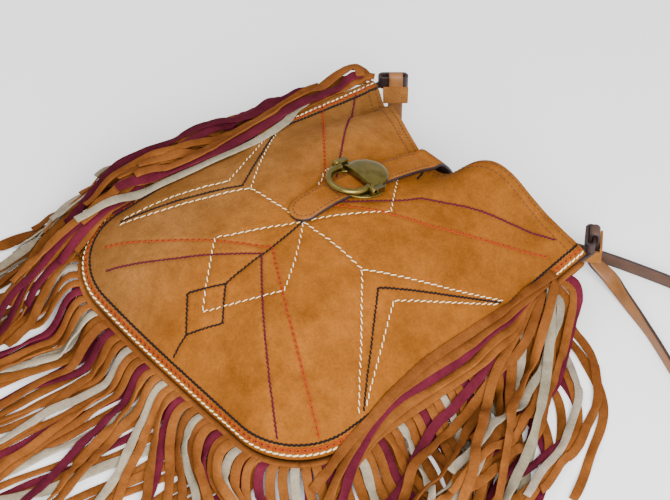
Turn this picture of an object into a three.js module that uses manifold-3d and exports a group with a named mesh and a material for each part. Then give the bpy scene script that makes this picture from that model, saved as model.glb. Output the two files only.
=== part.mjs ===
// A suede crossbody bag with a fringed seam, lying on its back.
// Millimetres: X runs across the bag, Y from its bottom to its mouth, Z up from the surface it lies on.

import * as THREE from 'three';
import { mergeVertices } from 'three/addons/utils/BufferGeometryUtils.js';
import Module from 'manifold-3d';

const wasm = await Module();
wasm.setup();

// Sizes of the panels
const WALL = 2;
const GAP = 0.3;
const MOUTH_HALF_WIDTH = 104;
const MOUTH_CORNER_Y = 142;
const BOTTOM_HALF_WIDTH = 118;
const CORNER_RADIUS = 46;
const BOTTOM_Y = -122.5;
const CORNER_Y = BOTTOM_Y + CORNER_RADIUS;
const FRONT_MOUTH_Y = 97;
const BACK_MOUTH_Y = 136;
const FOOT_Y = -40;
const MOUTH_BOW = 0.08;
const DOME_BOTTOM = 2.0;
const DOME_SIDE = 2.6;
const DOME_EASE = 0.9;
const BACK_FLAT = 0.42;
const BACK_CURVE = 1.9;
const BACK_LIFT = 6.5;
const BACK_LIFT_FROM = 70;
const BACK_LIFT_TO = 104;

// Sizes of the fringe
const HEAD_THICK = 1.2;
const HEAD_INNER = 5;
const HEAD_OUTER = 4;
const LAYER_STEP = HEAD_THICK + 2 * GAP;
const SEAM_HALF = LAYER_STEP + HEAD_THICK / 2 + GAP;
const STRIP_WIDTH = 5.6;
const STRIP_THICK = 1.2;
const STRIP_LENGTH = 200;
const SIDE_STEPS = 10;
const BOTTOM_STEPS = 8;
const LIP = 6;
const FALL = 1.6;
const FLOOR_STRIP = STRIP_THICK / 2 + GAP;
const SWAY = 40;
const SWAY_FROM = -126;
const SWAY_TO = -226;

// Sizes of the tab, the clasp, the anchors and the strap
const TAB_HALF = 10;
const TAB_THICK = 3;
const TAB_CLEAR = 1.4;
const TAB_TIP_Y = -14;
const CLASP_X = 0.8;
const CLASP_Y = 40;
const HINGE_Y = -5.5;
const HINGE_Z = 3.4;
const RING_RADIUS = 13.5;
const RING_WIRE = 2;
const RING_CENTRE_Y = -10.2;
const PIN_RADIUS = 1.2;
const PIN_CLEAR = 0.3;
const PLATE_HALF_WIDTH = 20.5;
const PLATE_HALF_LENGTH = 17.5;
const PLATE_Y = -4;
const PLATE_THICK = 1;
const EYE_RADIUS = 11.9;
const EYE_SLOT_HALF = 8;
const CAP_RADIUS = 14.4;
const CAP_HEIGHT = 5.8;
const CAP_Y = 4.6;
const LUG_INNER = 15.9;
const LUG_OUTER = 19.4;
const LUG_HALF = 2.2;
const LUG_TOP = 4.6;
const LUG_BACK_Y = 3;
const STRAP_HALF = 5;
const STRAP_THICK = 2.2;
const STRAP_ON_EDGE = STRAP_HALF + 0.15;
const STRAP_TAIL = 32;
const STRAP_ASIDE = 1.8;
const ANCHOR_TURN = THREE.MathUtils.degToRad(48.7);
const ANCHOR_X = 96;
const ANCHOR_Y = 155.2;
const ANCHOR_HEIGHT = 9;
const ANCHOR_WALL = 2;
const ANCHOR_HOLE_HALF = 8.6;
const ANCHOR_HOLE_RADIUS = 1.7;
const ANCHOR_LEFT_Z = 53;
const ANCHOR_RIGHT_Z = 34;
const KEEPER_HEIGHT = 9;
const KEEPER_WALL = 1.6;
const KEEPER_DROP = 9.5;
const KEEPER_APRON = 4.4;
const KEEPER_SIDE = 2.1;

// Height of the seam's middle along the outline, from the left mouth corner round to the right one
const SEAM_RISE = [
  { at: 0, z: 50 },
  { at: 0.16, z: 56 },
  { at: 0.3, z: 42 },
  { at: 0.42, z: 24 },
  { at: 0.5, z: 19 },
  { at: 0.62, z: 18.5 },
  { at: 0.82, z: 19 },
  { at: 1, z: 30 },
];

// Height of the front along its middle line
const SPINE = [
  { at: -40, z: 77.5 },
  { at: -10, z: 83.5 },
  { at: 10, z: 86 },
  { at: 30, z: 85 },
  { at: 50, z: 82.3 },
  { at: 70, z: 78.8 },
  { at: 85, z: 75 },
  { at: 97, z: 70.5 },
];

// Folds and dents of the front, each a soft hill or hollow
const FOLDS = [
  { name: 'left valley', x: -80, y: 126, across: 11, along: 50, rise: -13 },
  { name: 'left ridge', x: -50, y: 60, across: 18, along: 34, rise: 3 },
  { name: 'right bulge', x: 46, y: 116, across: 27, along: 36, rise: 23 },
  { name: 'dent by the tab', x: 14, y: 99, across: 13, along: 24, rise: -8 },
  { name: 'bottom dent', x: -62, y: -66, across: 26, along: 18, rise: -3 },
];

// Strips of each side, from the lowest root to the highest
const SIDES = [
  { name: 'left', sign: -1, strips: 12, lowest: -62, highest: 122, lane: 8.6, pitch: 7.2, lip: 14 },
  { name: 'right', sign: 1, strips: 13, lowest: -64, highest: 122, lane: 8.6, pitch: 7.6, lip: LIP },
];
const BOTTOM_STRIPS = 27;
const BOTTOM_REACH = 94;

// Profile of the clasp's cap, from its middle round to the top
const CAP_PROFILE = [
  { inset: CAP_RADIUS, z: 0.2 },
  { inset: 0, z: 0.2 },
  { inset: 0, z: 2.2 },
  { inset: 0.9, z: 3.4 },
  { inset: 3, z: 4.6 },
  { inset: 7, z: 5.4 },
  { inset: CAP_RADIUS, z: CAP_HEIGHT },
];

const COLOURS = [
  { name: 'burgundy', layer: 0, colour: 0x5a1f26 },
  { name: 'tan', layer: 1, colour: 0xb27a44 },
  { name: 'bone', layer: -1, colour: 0xb9b09c },
];
const COLOUR_ORDER = ['burgundy', 'tan', 'tan', 'bone', 'tan', 'tan'];

const SUEDE = { color: 0xb47d47, roughness: 0.95, metalness: 0 };
const LEATHER = { color: 0x8a5a30, roughness: 0.6, metalness: 0 };
const BRASS = { color: 0x8c7a45, roughness: 0.35, metalness: 1 };

const vector = (x, y, z) => new THREE.Vector3(x, y, z);
const ease = (t) => {
  const s = THREE.MathUtils.clamp(t, 0, 1);
  return s * s * (3 - 2 * s);
};

// A smooth curve through the rows of a table
function lookup(rows, column, at) {
  const last = rows.length - 1;
  const place = THREE.MathUtils.clamp(at, rows[0].at, rows[last].at);
  const next = Math.max(1, rows.findIndex((row) => row.at >= place));
  const slope = (k) => {
    const a = rows[Math.max(0, k - 1)];
    const b = rows[Math.min(last, k + 1)];
    return (b[column] - a[column]) / (b.at - a.at);
  };
  const low = rows[next - 1];
  const high = rows[next];
  const span = high.at - low.at;
  const t = (place - low.at) / span;
  const u = 1 - t;
  const start = low[column] * (1 + 2 * t) * u * u + high[column] * (1 + 2 * u) * t * t;
  return start + span * t * u * (slope(next - 1) * u - slope(next) * t);
}

// Closed surfaces from triangles, and solids for joining and cutting
function weld(triangles) {
  const index = new Map();
  const places = [];
  const faces = [];
  const number = (p) => {
    const key = [p.x, p.y, p.z].map((v) => Math.round(v * 2000)).join(' ');
    if (!index.has(key)) {
      index.set(key, index.size);
      places.push(p.x, p.y, p.z);
    }
    return index.get(key);
  };
  let volume = 0;
  for (const [a, b, c] of triangles) {
    const ids = [number(a), number(b), number(c)];
    if (new Set(ids).size === 3) {
      faces.push(ids);
      volume += a.dot(b.clone().cross(c));
    }
  }
  const order = volume < 0 ? faces.map(([a, b, c]) => [a, c, b]) : faces;
  const geometry = new THREE.BufferGeometry();
  geometry.setAttribute('position', new THREE.Float32BufferAttribute(places, 3));
  geometry.setIndex(order.flat());
  return geometry;
}

const quad = (a, b, c, d) => [[a, b, c], [a, c, d]];

function solid(geometry) {
  const bare = geometry.clone();
  bare.deleteAttribute('normal');
  bare.deleteAttribute('uv');
  const joined = mergeVertices(bare, 1e-4);
  const vertProperties = new Float32Array(joined.attributes.position.array);
  const triVerts = new Uint32Array(joined.index.array);
  return new wasm.Manifold(new wasm.Mesh({ numProp: 3, vertProperties, triVerts }));
}

function surface(body) {
  const { vertProperties, triVerts } = body.getMesh();
  const geometry = new THREE.BufferGeometry();
  geometry.setAttribute('position', new THREE.BufferAttribute(vertProperties, 3));
  geometry.setIndex(new THREE.BufferAttribute(triVerts, 1));
  return geometry;
}

const fuse = (geometries) => surface(geometries.map(solid).reduce((sum, next) => sum.add(next)));

// A flat band through stations, each with a centre, a half width along a side and a thickness along up
function band(stations) {
  const corners = [[1, 1], [-1, 1], [-1, -1], [1, -1]];
  const rings = stations.map(({ centre, side, half, up, thick }) => corners.map(
    ([s, u]) => centre.clone().addScaledVector(side, s * half).addScaledVector(up, u * thick / 2),
  ));
  const triangles = [];
  for (let k = 0; k + 1 < rings.length; k += 1) {
    for (let c = 0; c < 4; c += 1) {
      const d = (c + 1) % 4;
      triangles.push(...quad(rings[k][c], rings[k][d], rings[k + 1][d], rings[k + 1][c]));
    }
  }
  const first = rings[0];
  const last = rings[rings.length - 1];
  triangles.push(...quad(first[3], first[2], first[1], first[0]), ...quad(...last));
  return weld(triangles);
}

// The seam outline
const outline = new THREE.Path();
outline.moveTo(-MOUTH_HALF_WIDTH, MOUTH_CORNER_Y);
outline.lineTo(-BOTTOM_HALF_WIDTH, CORNER_Y);
outline.absarc(-BOTTOM_HALF_WIDTH + CORNER_RADIUS, CORNER_Y, CORNER_RADIUS, Math.PI, 1.5 * Math.PI);
outline.lineTo(BOTTOM_HALF_WIDTH - CORNER_RADIUS, BOTTOM_Y);
outline.absarc(BOTTOM_HALF_WIDTH - CORNER_RADIUS, CORNER_Y, CORNER_RADIUS, 1.5 * Math.PI, 2 * Math.PI);
outline.lineTo(MOUTH_HALF_WIDTH, MOUTH_CORNER_Y);
const SIDE_LENGTH = Math.hypot(BOTTOM_HALF_WIDTH - MOUTH_HALF_WIDTH, MOUTH_CORNER_Y - CORNER_Y);
const SIDE_SHARE = SIDE_LENGTH / outline.getLength();
const ARC_SHARE = 0.5 * Math.PI * CORNER_RADIUS / outline.getLength();

function seamAt(q) {
  const at = THREE.MathUtils.clamp(q, 0, 1);
  const folded = Math.min(at, 1 - at);
  const point = outline.getPoint(folded);
  const ahead = outline.getPoint(folded + 1e-4);
  const back = outline.getPoint(Math.max(0, folded - 1e-4));
  const along = ahead.sub(back).normalize();
  const mirror = at > 0.5 ? -1 : 1;
  return {
    x: folded === 0.5 ? 0 : point.x * mirror,
    y: point.y,
    z: lookup(SEAM_RISE, 'z', at),
    outX: along.y * mirror,
    outY: -along.x,
    side: THREE.MathUtils.clamp((point.y - CORNER_Y) / (MOUTH_CORNER_Y - CORNER_Y), 0, 1),
  };
}

const sidePlace = (sign, y) => {
  const share = SIDE_SHARE * (MOUTH_CORNER_Y - y) / (MOUTH_CORNER_Y - CORNER_Y);
  return sign < 0 ? share : 1 - share;
};

function bottomPlace(x) {
  let low = SIDE_SHARE;
  let high = 1 - SIDE_SHARE;
  for (let k = 0; k < 40; k += 1) {
    const middle = (low + high) / 2;
    if (seamAt(middle).x < x) low = middle;
    else high = middle;
  }
  return (low + high) / 2;
}

// Places along the seam at which the panels have a column
const series = (length, value) => Array.from({ length }, (_, k) => value(k));
const PLACES = [
  { from: 0, to: SIDE_SHARE, columns: 11 },
  { from: SIDE_SHARE, to: SIDE_SHARE + ARC_SHARE, columns: 5 },
  { from: SIDE_SHARE + ARC_SHARE, to: 0.5, columns: 4 },
].flatMap(({ from, to, columns }) => series(columns, (k) => from + (to - from) * k / columns));
const COLUMNS = [...PLACES, 0.5, ...PLACES.map((q) => 1 - q).reverse()];
const FRONT_RINGS = [0, 0.1, 0.22, 0.38, 0.54, 0.68, 0.8, 0.91, 1];
const BACK_RINGS = [0, BACK_FLAT, 0.56, 0.7, 0.82, 0.92, 1];

const fold = (x, y) => FOLDS.reduce(
  (sum, f) => sum + f.rise * Math.exp(-(((x - f.x) / f.across) ** 2) - ((y - f.y) / f.along) ** 2),
  0,
);

function frontPoint(q, r) {
  const seam = seamAt(q);
  const footY = FOOT_Y + (FRONT_MOUTH_Y - FOOT_Y) * seam.side;
  const x = seam.x * r;
  const y = footY + (seam.y - footY) * r ** (1 + MOUTH_BOW * seam.side);
  const power = DOME_BOTTOM + (DOME_SIDE - DOME_BOTTOM) * seam.outX ** 2;
  const dome = Math.max(0, 1 - r ** power) ** DOME_EASE;
  const edge = seam.z + SEAM_HALF + WALL;
  const z = edge + (lookup(SPINE, 'z', footY) - edge) * dome + fold(x, y) * (1 - r ** 6);
  return vector(x, y, z);
}

function backPoint(q, r) {
  const seam = seamAt(q);
  const footY = FOOT_Y + (BACK_MOUTH_Y - FOOT_Y) * seam.side;
  const x = seam.x * r;
  const y = footY + (seam.y - footY) * r;
  const rise = Math.max(0, (r - BACK_FLAT) / (1 - BACK_FLAT)) ** BACK_CURVE;
  const lift = BACK_LIFT * ease((y - BACK_LIFT_FROM) / (BACK_LIFT_TO - BACK_LIFT_FROM)) * (1 - rise);
  return vector(x, y, (seam.z - SEAM_HALF - WALL) * rise + lift);
}

function upright(point, q, r) {
  const step = 0.004;
  if (r === 0) {
    const folded = Math.min(q, 1 - q);
    const rise = point(Math.max(0, folded - step), 0).sub(point(folded + step, 0));
    return vector(0, -rise.z, Math.max(rise.y, 1e-6)).normalize();
  }
  const along = point(Math.min(1, q + step), r).sub(point(Math.max(0, q - step), r));
  const across = point(q, Math.min(1, r + step)).sub(point(q, r - step));
  const normal = across.cross(along).normalize();
  return normal.z < 0 ? normal.negate() : normal;
}

// A wall of even thickness on one side of a panel's surface, with the edges closed
function panel(point, rings, inward) {
  const outer = COLUMNS.map((q) => rings.map((r) => point(q, r)));
  const inner = COLUMNS.map((q, i) => rings.map((r, j) => (r === 1
    ? outer[i][j].clone().setZ(outer[i][j].z + inward * WALL)
    : outer[i][j].clone().addScaledVector(upright(point, q, r), inward * WALL))));
  const triangles = [];
  const last = COLUMNS.length - 1;
  const edge = rings.length - 1;
  for (let i = 0; i < last; i += 1) {
    for (let j = 0; j < edge; j += 1) {
      triangles.push(...quad(outer[i][j], outer[i][j + 1], outer[i + 1][j + 1], outer[i + 1][j]));
      triangles.push(...quad(inner[i + 1][j], inner[i + 1][j + 1], inner[i][j + 1], inner[i][j]));
    }
    triangles.push(...quad(outer[i][edge], inner[i][edge], inner[i + 1][edge], outer[i + 1][edge]));
  }
  for (let j = 0; j < edge; j += 1) {
    triangles.push(...quad(outer[0][j + 1], outer[0][j], inner[0][j], inner[0][j + 1]));
    triangles.push(...quad(outer[last][j], outer[last][j + 1], inner[last][j + 1], inner[last][j]));
  }
  return weld(triangles);
}

// The fringe: a head band in the seam, and strips that leave it and fall to the surface below
function head(from, to, layer, steps) {
  const stations = [];
  for (let k = 0; k <= steps; k += 1) {
    const seam = seamAt(from + (to - from) * k / steps);
    const side = vector(seam.outX, seam.outY, 0);
    const shift = (HEAD_OUTER - HEAD_INNER) / 2;
    stations.push({
      centre: vector(seam.x, seam.y, seam.z + layer * LAYER_STEP).addScaledVector(side, shift),
      side,
      half: (HEAD_OUTER + HEAD_INNER) / 2,
      up: vector(0, 0, 1),
      thick: HEAD_THICK,
    });
  }
  return band(stations);
}

function drape(height, run, lip) {
  const span = FALL * height;
  let out = Math.min(run, lip);
  const steps = 24;
  const length = Math.min(Math.max(run - lip, 0), span);
  for (let k = 0; k < steps; k += 1) {
    const t = (k + 0.5) / steps * length / span;
    const fall = 6 * t * (1 - t) / FALL;
    out += Math.sqrt(Math.max(0, 1 - fall * fall)) * length / steps;
  }
  out += Math.max(0, run - lip - span);
  return { out, share: 1 - ease((run - lip) / span) };
}

const settle = (seamZ, layer, run, lip) => {
  const level = seamZ + layer * LAYER_STEP * (1 - ease((run - lip) / 14));
  const { out, share } = drape(seamZ - FLOOR_STRIP, run, lip);
  return { out, z: FLOOR_STRIP + (level - FLOOR_STRIP) * share };
};

// Below the bag all strips sway to one side as they lie
const sway = (y) => SWAY * ease((SWAY_FROM - y) / (SWAY_FROM - SWAY_TO));

// A side strip turns from the seam into its lane and runs towards the bottom of the bag
function sidePoint(sign, layer, run, y, lip) {
  const seam = seamAt(sidePlace(sign, Math.max(y, CORNER_Y)));
  const past = ease((CORNER_Y + 14 - y) / 74);
  const { out, z } = settle(seam.z, layer, run, lip);
  const spread = out + (run - out) * past;
  return vector(seam.x + sign * spread + sway(y), y, FLOOR_STRIP + (z - FLOOR_STRIP) * (1 - past));
}

function sideStrip({ sign, lane, pitch, strips, lowest, highest, lip }, k, layer, length) {
  const goal = lane + pitch * k;
  const turn = 2 * (goal - 1);
  const root = lowest + (highest - lowest) * k / (strips - 1);
  const fine = 400;
  const leave = Math.round(fine * LIP / length);
  const marks = series(SIDE_STEPS, (m) => leave + Math.round((fine - leave) * m / (SIDE_STEPS - 1)));
  marks.unshift(0);
  const stations = [];
  let y = root;
  for (let m = 0; m <= fine; m += 1) {
    const t = Math.min(1, length * m / fine / turn);
    const run = 1 + (goal - 1) * (1 - (1 - t) ** 2);
    const outward = 1 - t;
    const down = Math.sqrt(1 - outward * outward);
    if (marks.includes(m)) {
      const d = 0.2;
      const centre = sidePoint(sign, layer, run, y, lip);
      const ahead = sidePoint(sign, layer, run + d * outward, y - d * down, lip).sub(centre).normalize();
      const beside = sidePoint(sign, layer, run + d * down, y + d * outward, lip).sub(centre);
      const side = beside.addScaledVector(ahead, -beside.dot(ahead)).normalize();
      const up = side.clone().cross(ahead).normalize();
      stations.push({ centre, side, half: STRIP_WIDTH / 2, up, thick: STRIP_THICK });
    }
    y -= down * length / fine;
  }
  return band(stations);
}

function bottomStrip(x, layer, length) {
  const seam = seamAt(bottomPlace(x));
  const lean = (seamAt(bottomPlace(x + 1)).z - seamAt(bottomPlace(x - 1)).z) / 2;
  const stations = [];
  for (let m = 0; m <= BOTTOM_STEPS; m += 1) {
    const run = 1 + length * (m / BOTTOM_STEPS) ** 1.7;
    const place = (at) => {
      const { out, z } = settle(seam.z, layer, at, LIP);
      return vector(x + sway(seam.y - out), seam.y - out, z);
    };
    const centre = place(run);
    const ahead = place(run + 0.2).sub(centre).normalize();
    const side = vector(1, 0, lean * (1 - ease((run - LIP) / 30))).normalize();
    const up = side.clone().cross(ahead);
    stations.push({ centre, side, half: STRIP_WIDTH / 2, up, thick: STRIP_THICK });
  }
  return band(stations);
}

const stripLength = (k) => STRIP_LENGTH * (1 - 0.03 * ((k * 7) % 5) / 4);

// The closure tab lies on the front, bends over the mouth and is sewn under the back
const tabFold = (y) => Math.max(...[-1, 0, 1].map((side) => fold(side * TAB_HALF, y)));
const tabZ = (y) => lookup(SPINE, 'z', y) + tabFold(y) + TAB_CLEAR + TAB_THICK / 2;
const tabX = (y) => -5 * ease((95 - y) / 110);
const TAB_TIP = [0.25, 1.2, 2.8, 5, 7.5, 10];
const TAB_RUN = 12;
const TAB_BACK = [
  { y: 100, z: 74 },
  { y: 106, z: 68 },
  { y: 112, z: 58 },
  { y: 119, z: 44 },
  { y: 128, z: 28 },
  { y: 138, z: 16 },
  { y: 143, z: 10 },
  { y: 141.5, z: 5 },
  { y: 134, z: 2.1 },
  { y: 120, z: 1.7 },
  { y: 106, z: 1.7 },
];

function tab() {
  const rows = TAB_TIP.map((d) => {
    const y = TAB_TIP_Y + d;
    return { y, z: tabZ(y), half: Math.sqrt(TAB_HALF ** 2 - (TAB_HALF - d) ** 2) };
  });
  const start = TAB_TIP_Y + TAB_HALF;
  for (let k = 1; k <= TAB_RUN; k += 1) {
    const y = start + (94 - start) * k / TAB_RUN;
    rows.push({ y, z: tabZ(y), half: TAB_HALF });
  }
  TAB_BACK.forEach(({ y, z }) => rows.push({ y, z, half: TAB_HALF }));
  const side = vector(1, 0, 0);
  return band(rows.map(({ y, z, half }, k) => {
    const before = rows[Math.max(0, k - 1)];
    const after = rows[Math.min(rows.length - 1, k + 1)];
    const ahead = vector(0, after.y - before.y, after.z - before.z).normalize();
    return { centre: vector(tabX(y), y, z), side, half, up: side.clone().cross(ahead), thick: TAB_THICK };
  }));
}

// The clasp, built flat at its own origin on the tab
const claspTilt = Math.atan((tabZ(CLASP_Y + 1) - tabZ(CLASP_Y - 1)) / 2);
const claspPlace = new THREE.Matrix4()
  .makeTranslation(tabX(CLASP_Y) + CLASP_X, CLASP_Y, tabZ(CLASP_Y) + TAB_THICK / 2 + TAB_CLEAR)
  .multiply(new THREE.Matrix4().makeRotationX(claspTilt));

const boxAt = (w, d, h, x, y, z) => new THREE.BoxGeometry(w, d, h).translate(x, y, z);
function rodAlongX(radius, length, x, y, z, sides) {
  const rod = new THREE.CylinderGeometry(radius, radius, length, sides);
  return rod.rotateZ(Math.PI / 2).translate(x, y, z);
}

// The plate round the ring's eye
function claspPlate() {
  const oval = new THREE.CylinderGeometry(1, 1, PLATE_THICK, 40).rotateX(Math.PI / 2);
  oval.scale(PLATE_HALF_WIDTH, PLATE_HALF_LENGTH, 1).translate(0, PLATE_Y, PLATE_THICK / 2);
  const eye = new THREE.CylinderGeometry(EYE_RADIUS, EYE_RADIUS, 10, 32).rotateX(Math.PI / 2);
  eye.translate(0, RING_CENTRE_Y, 0);
  const slot = boxAt(2 * EYE_SLOT_HALF, 20, 10, 0, RING_CENTRE_Y - 14, 0);
  return solid(oval).subtract(solid(eye)).subtract(solid(slot));
}

// The domed cap, round at its back and straight along its sides
function claspCap() {
  const front = HINGE_Y + 1;
  const profile = CAP_PROFILE.map(({ inset, z }) => new THREE.Vector2(CAP_RADIUS - inset, z));
  const dome = new THREE.LatheGeometry(profile, 28);
  dome.rotateX(Math.PI / 2).translate(0, CAP_Y, 0);
  const right = profile.slice(1);
  const left = right.slice(0, -1).reverse().map(({ x, y }) => new THREE.Vector2(-x, y));
  const section = new THREE.Shape([...right, ...left]);
  const arch = new THREE.ExtrudeGeometry(section, { depth: CAP_Y - front, bevelEnabled: false });
  arch.rotateX(Math.PI / 2).translate(0, CAP_Y, 0);
  const cutter = boxAt(60, 40, 30, 0, front - 20, 0);
  return solid(dome).add(solid(arch)).subtract(solid(cutter));
}

function claspBase() {
  const lug = (sign) => {
    const middle = sign * (LUG_INNER + LUG_OUTER) / 2;
    const wide = LUG_OUTER - LUG_INNER;
    const long = LUG_BACK_Y - HINGE_Y + LUG_HALF;
    const post = solid(boxAt(wide, long, LUG_TOP - 0.2, middle, LUG_BACK_Y - long / 2, LUG_TOP / 2 + 0.1));
    return post.add(solid(rodAlongX(LUG_HALF, wide, middle, HINGE_Y, HINGE_Z, 14)));
  };
  const hole = solid(rodAlongX(PIN_RADIUS + PIN_CLEAR, 60, 0, HINGE_Y, HINGE_Z, 12));
  const room = RING_WIRE + PIN_CLEAR;
  const swing = solid(boxAt(2 * LUG_INNER, 2 * room, 20, 0, HINGE_Y, HINGE_Z + 10 - room));
  const body = claspPlate().add(claspCap()).subtract(swing);
  return surface(body.add(lug(-1)).add(lug(1)).subtract(hole));
}

class RingCurve extends THREE.Curve {
  getPoint(t, target = new THREE.Vector3()) {
    const lift = Math.asin((HINGE_Y - RING_CENTRE_Y) / RING_RADIUS);
    const angle = Math.PI - lift + (Math.PI + 2 * lift) * t;
    const y = RING_CENTRE_Y + RING_RADIUS * Math.sin(angle);
    return target.set(RING_RADIUS * Math.cos(angle), y, HINGE_Z);
  }
}

function claspRing() {
  const wire = new THREE.Shape().absarc(0, 0, RING_WIRE, 0, 2 * Math.PI);
  const sweep = { steps: 26, curveSegments: 5, extrudePath: new RingCurve() };
  const hoop = new THREE.ExtrudeGeometry(wire, sweep);
  const inner = Math.sqrt(RING_RADIUS ** 2 - (HINGE_Y - RING_CENTRE_Y) ** 2);
  const pin = (sign) => {
    const middle = sign * (LUG_OUTER + inner) / 2;
    return rodAlongX(PIN_RADIUS, LUG_OUTER - inner, middle, HINGE_Y, HINGE_Z, 10);
  };
  return fuse([hoop, pin(-1), pin(1)]);
}

// The anchors, the keepers and the strap
const anchorFrame = (sign) => {
  const turn = new THREE.Matrix4().makeRotationZ(ANCHOR_TURN).setPosition(-ANCHOR_X, ANCHOR_Y, 0);
  return new THREE.Matrix4().makeScale(-sign, 1, 1).multiply(turn);
};

function stadium(halfLength, radius, path) {
  const centre = halfLength - radius;
  path.moveTo(-centre, -radius);
  path.lineTo(centre, -radius);
  path.absarc(centre, 0, radius, -Math.PI / 2, Math.PI / 2);
  path.lineTo(-centre, radius);
  path.absarc(-centre, 0, radius, Math.PI / 2, 1.5 * Math.PI);
  return path;
}

function faceOut(geometry) {
  const places = geometry.attributes.position;
  const index = geometry.index.array;
  const corner = (k) => vector().fromBufferAttribute(places, index[k]);
  return weld(series(index.length / 3, (t) => [0, 1, 2].map((c) => corner(3 * t + c))));
}

function anchor(sign, z) {
  const loop = stadium(ANCHOR_HOLE_HALF + ANCHOR_WALL, ANCHOR_HOLE_RADIUS + ANCHOR_WALL, new THREE.Shape());
  loop.holes.push(stadium(ANCHOR_HOLE_HALF, ANCHOR_HOLE_RADIUS, new THREE.Path()));
  const tall = { depth: ANCHOR_HEIGHT, bevelEnabled: false, curveSegments: 6 };
  const ring = new THREE.ExtrudeGeometry(loop, tall);
  ring.translate(0, 0, z - ANCHOR_HEIGHT / 2);
  const seamZ = lookup(SEAM_RISE, 'z', sign < 0 ? 0 : 1);
  const tongue = boxAt(4, 16, 2.4, 0, 0, 0).rotateZ(-ANCHOR_TURN).translate(-15.2, -5.6, seamZ);
  return faceOut(fuse([ring, tongue]).applyMatrix4(anchorFrame(sign)));
}

const keeperMiddle = (sign) => sign * 2.5;

function keeper(sign, z) {
  const wide = STRAP_HALF + KEEPER_SIDE;
  const deep = 4.1;
  const box = (path, grow) => {
    path.moveTo(-wide - grow, -deep - grow);
    path.lineTo(wide + grow, -deep - grow);
    path.lineTo(wide + grow, deep + grow);
    path.lineTo(-wide - grow, deep + grow);
    path.lineTo(-wide - grow, -deep - grow);
    return path;
  };
  const shape = box(new THREE.Shape(), KEEPER_WALL);
  shape.holes.push(box(new THREE.Path(), 0));
  const ring = new THREE.ExtrudeGeometry(shape, { depth: KEEPER_HEIGHT, bevelEnabled: false });
  ring.translate(STRAP_ASIDE, keeperMiddle(sign), z - KEEPER_DROP - KEEPER_HEIGHT / 2);
  const front = keeperMiddle(sign) + sign * (deep + KEEPER_WALL / 2);
  const top = z - KEEPER_DROP + KEEPER_HEIGHT / 2;
  const tall = KEEPER_APRON + 2;
  const apron = boxAt(2 * (wide + KEEPER_WALL), KEEPER_WALL, tall, STRAP_ASIDE, front, top - 2 + tall / 2);
  return faceOut(fuse([ring, apron]).applyMatrix4(anchorFrame(sign)));
}

// The doubled end of the strap: from its run up through the anchor, over its wall and down to its free end
const STRAP_END = [
  { out: 0.3, up: -16 },
  { out: 0.35, up: -KEEPER_DROP },
  { out: 0, up: -3 },
  { out: 0, up: 4.6 },
  { out: 0.75, up: 6.4 },
  { out: 2.55, up: 7.15 },
  { out: 4.35, up: 6.4 },
  { out: 5.1, up: 4.6 },
  { out: 5.1, up: -5 },
  { out: 4.5, up: -KEEPER_DROP },
];

// The free run of the strap on the surface, standing on its edge where lean is 90
const STRAP_RUN = [
  { x: -94.4, y: 156.2, z: 22, turn: 49, lean: 0 },
  { x: -91.5, y: 154.6, z: 13.5, turn: 54, lean: 14 },
  { x: -83.5, y: 152.2, z: 7.8, turn: 68, lean: 45 },
  { x: -68, y: 150.4, z: 5.3, turn: 85, lean: 80 },
  { x: -45, y: 150, z: STRAP_ON_EDGE, turn: 90, lean: 90 },
  { x: -15, y: 150, z: STRAP_ON_EDGE, turn: 90, lean: 90 },
  { x: 20, y: 151.5, z: STRAP_ON_EDGE, turn: 90, lean: 90 },
  { x: 60, y: 160, z: STRAP_ON_EDGE, turn: 90, lean: 90 },
  { x: 105, y: 178, z: STRAP_ON_EDGE, turn: 90, lean: 90 },
  { x: 160, y: 195, z: STRAP_ON_EDGE, turn: 90, lean: 90 },
  { x: 225, y: 205, z: STRAP_ON_EDGE, turn: 90, lean: 90 },
  { x: 295, y: 204, z: STRAP_ON_EDGE, turn: 90, lean: 90 },
  { x: 362, y: 193, z: STRAP_ON_EDGE, turn: 90, lean: 90 },
  { x: 418, y: 170, z: STRAP_ON_EDGE, turn: 90, lean: 90 },
  { x: 443, y: 136, z: STRAP_ON_EDGE, turn: 90, lean: 90 },
  { x: 428, y: 102, z: STRAP_ON_EDGE, turn: 90, lean: 90 },
  { x: 385, y: 84, z: STRAP_ON_EDGE, turn: 90, lean: 90 },
  { x: 325, y: 86, z: STRAP_ON_EDGE, turn: 90, lean: 90 },
  { x: 262, y: 103, z: STRAP_ON_EDGE, turn: 90, lean: 90 },
  { x: 205, y: 126, z: STRAP_ON_EDGE, turn: 90, lean: 90 },
  { x: 160, y: 145, z: STRAP_ON_EDGE, turn: 100, lean: 88 },
  { x: 130, y: 155, z: 6, turn: 110, lean: 62 },
  { x: 112, y: 159.5, z: 9, turn: 120, lean: 28 },
];

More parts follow.
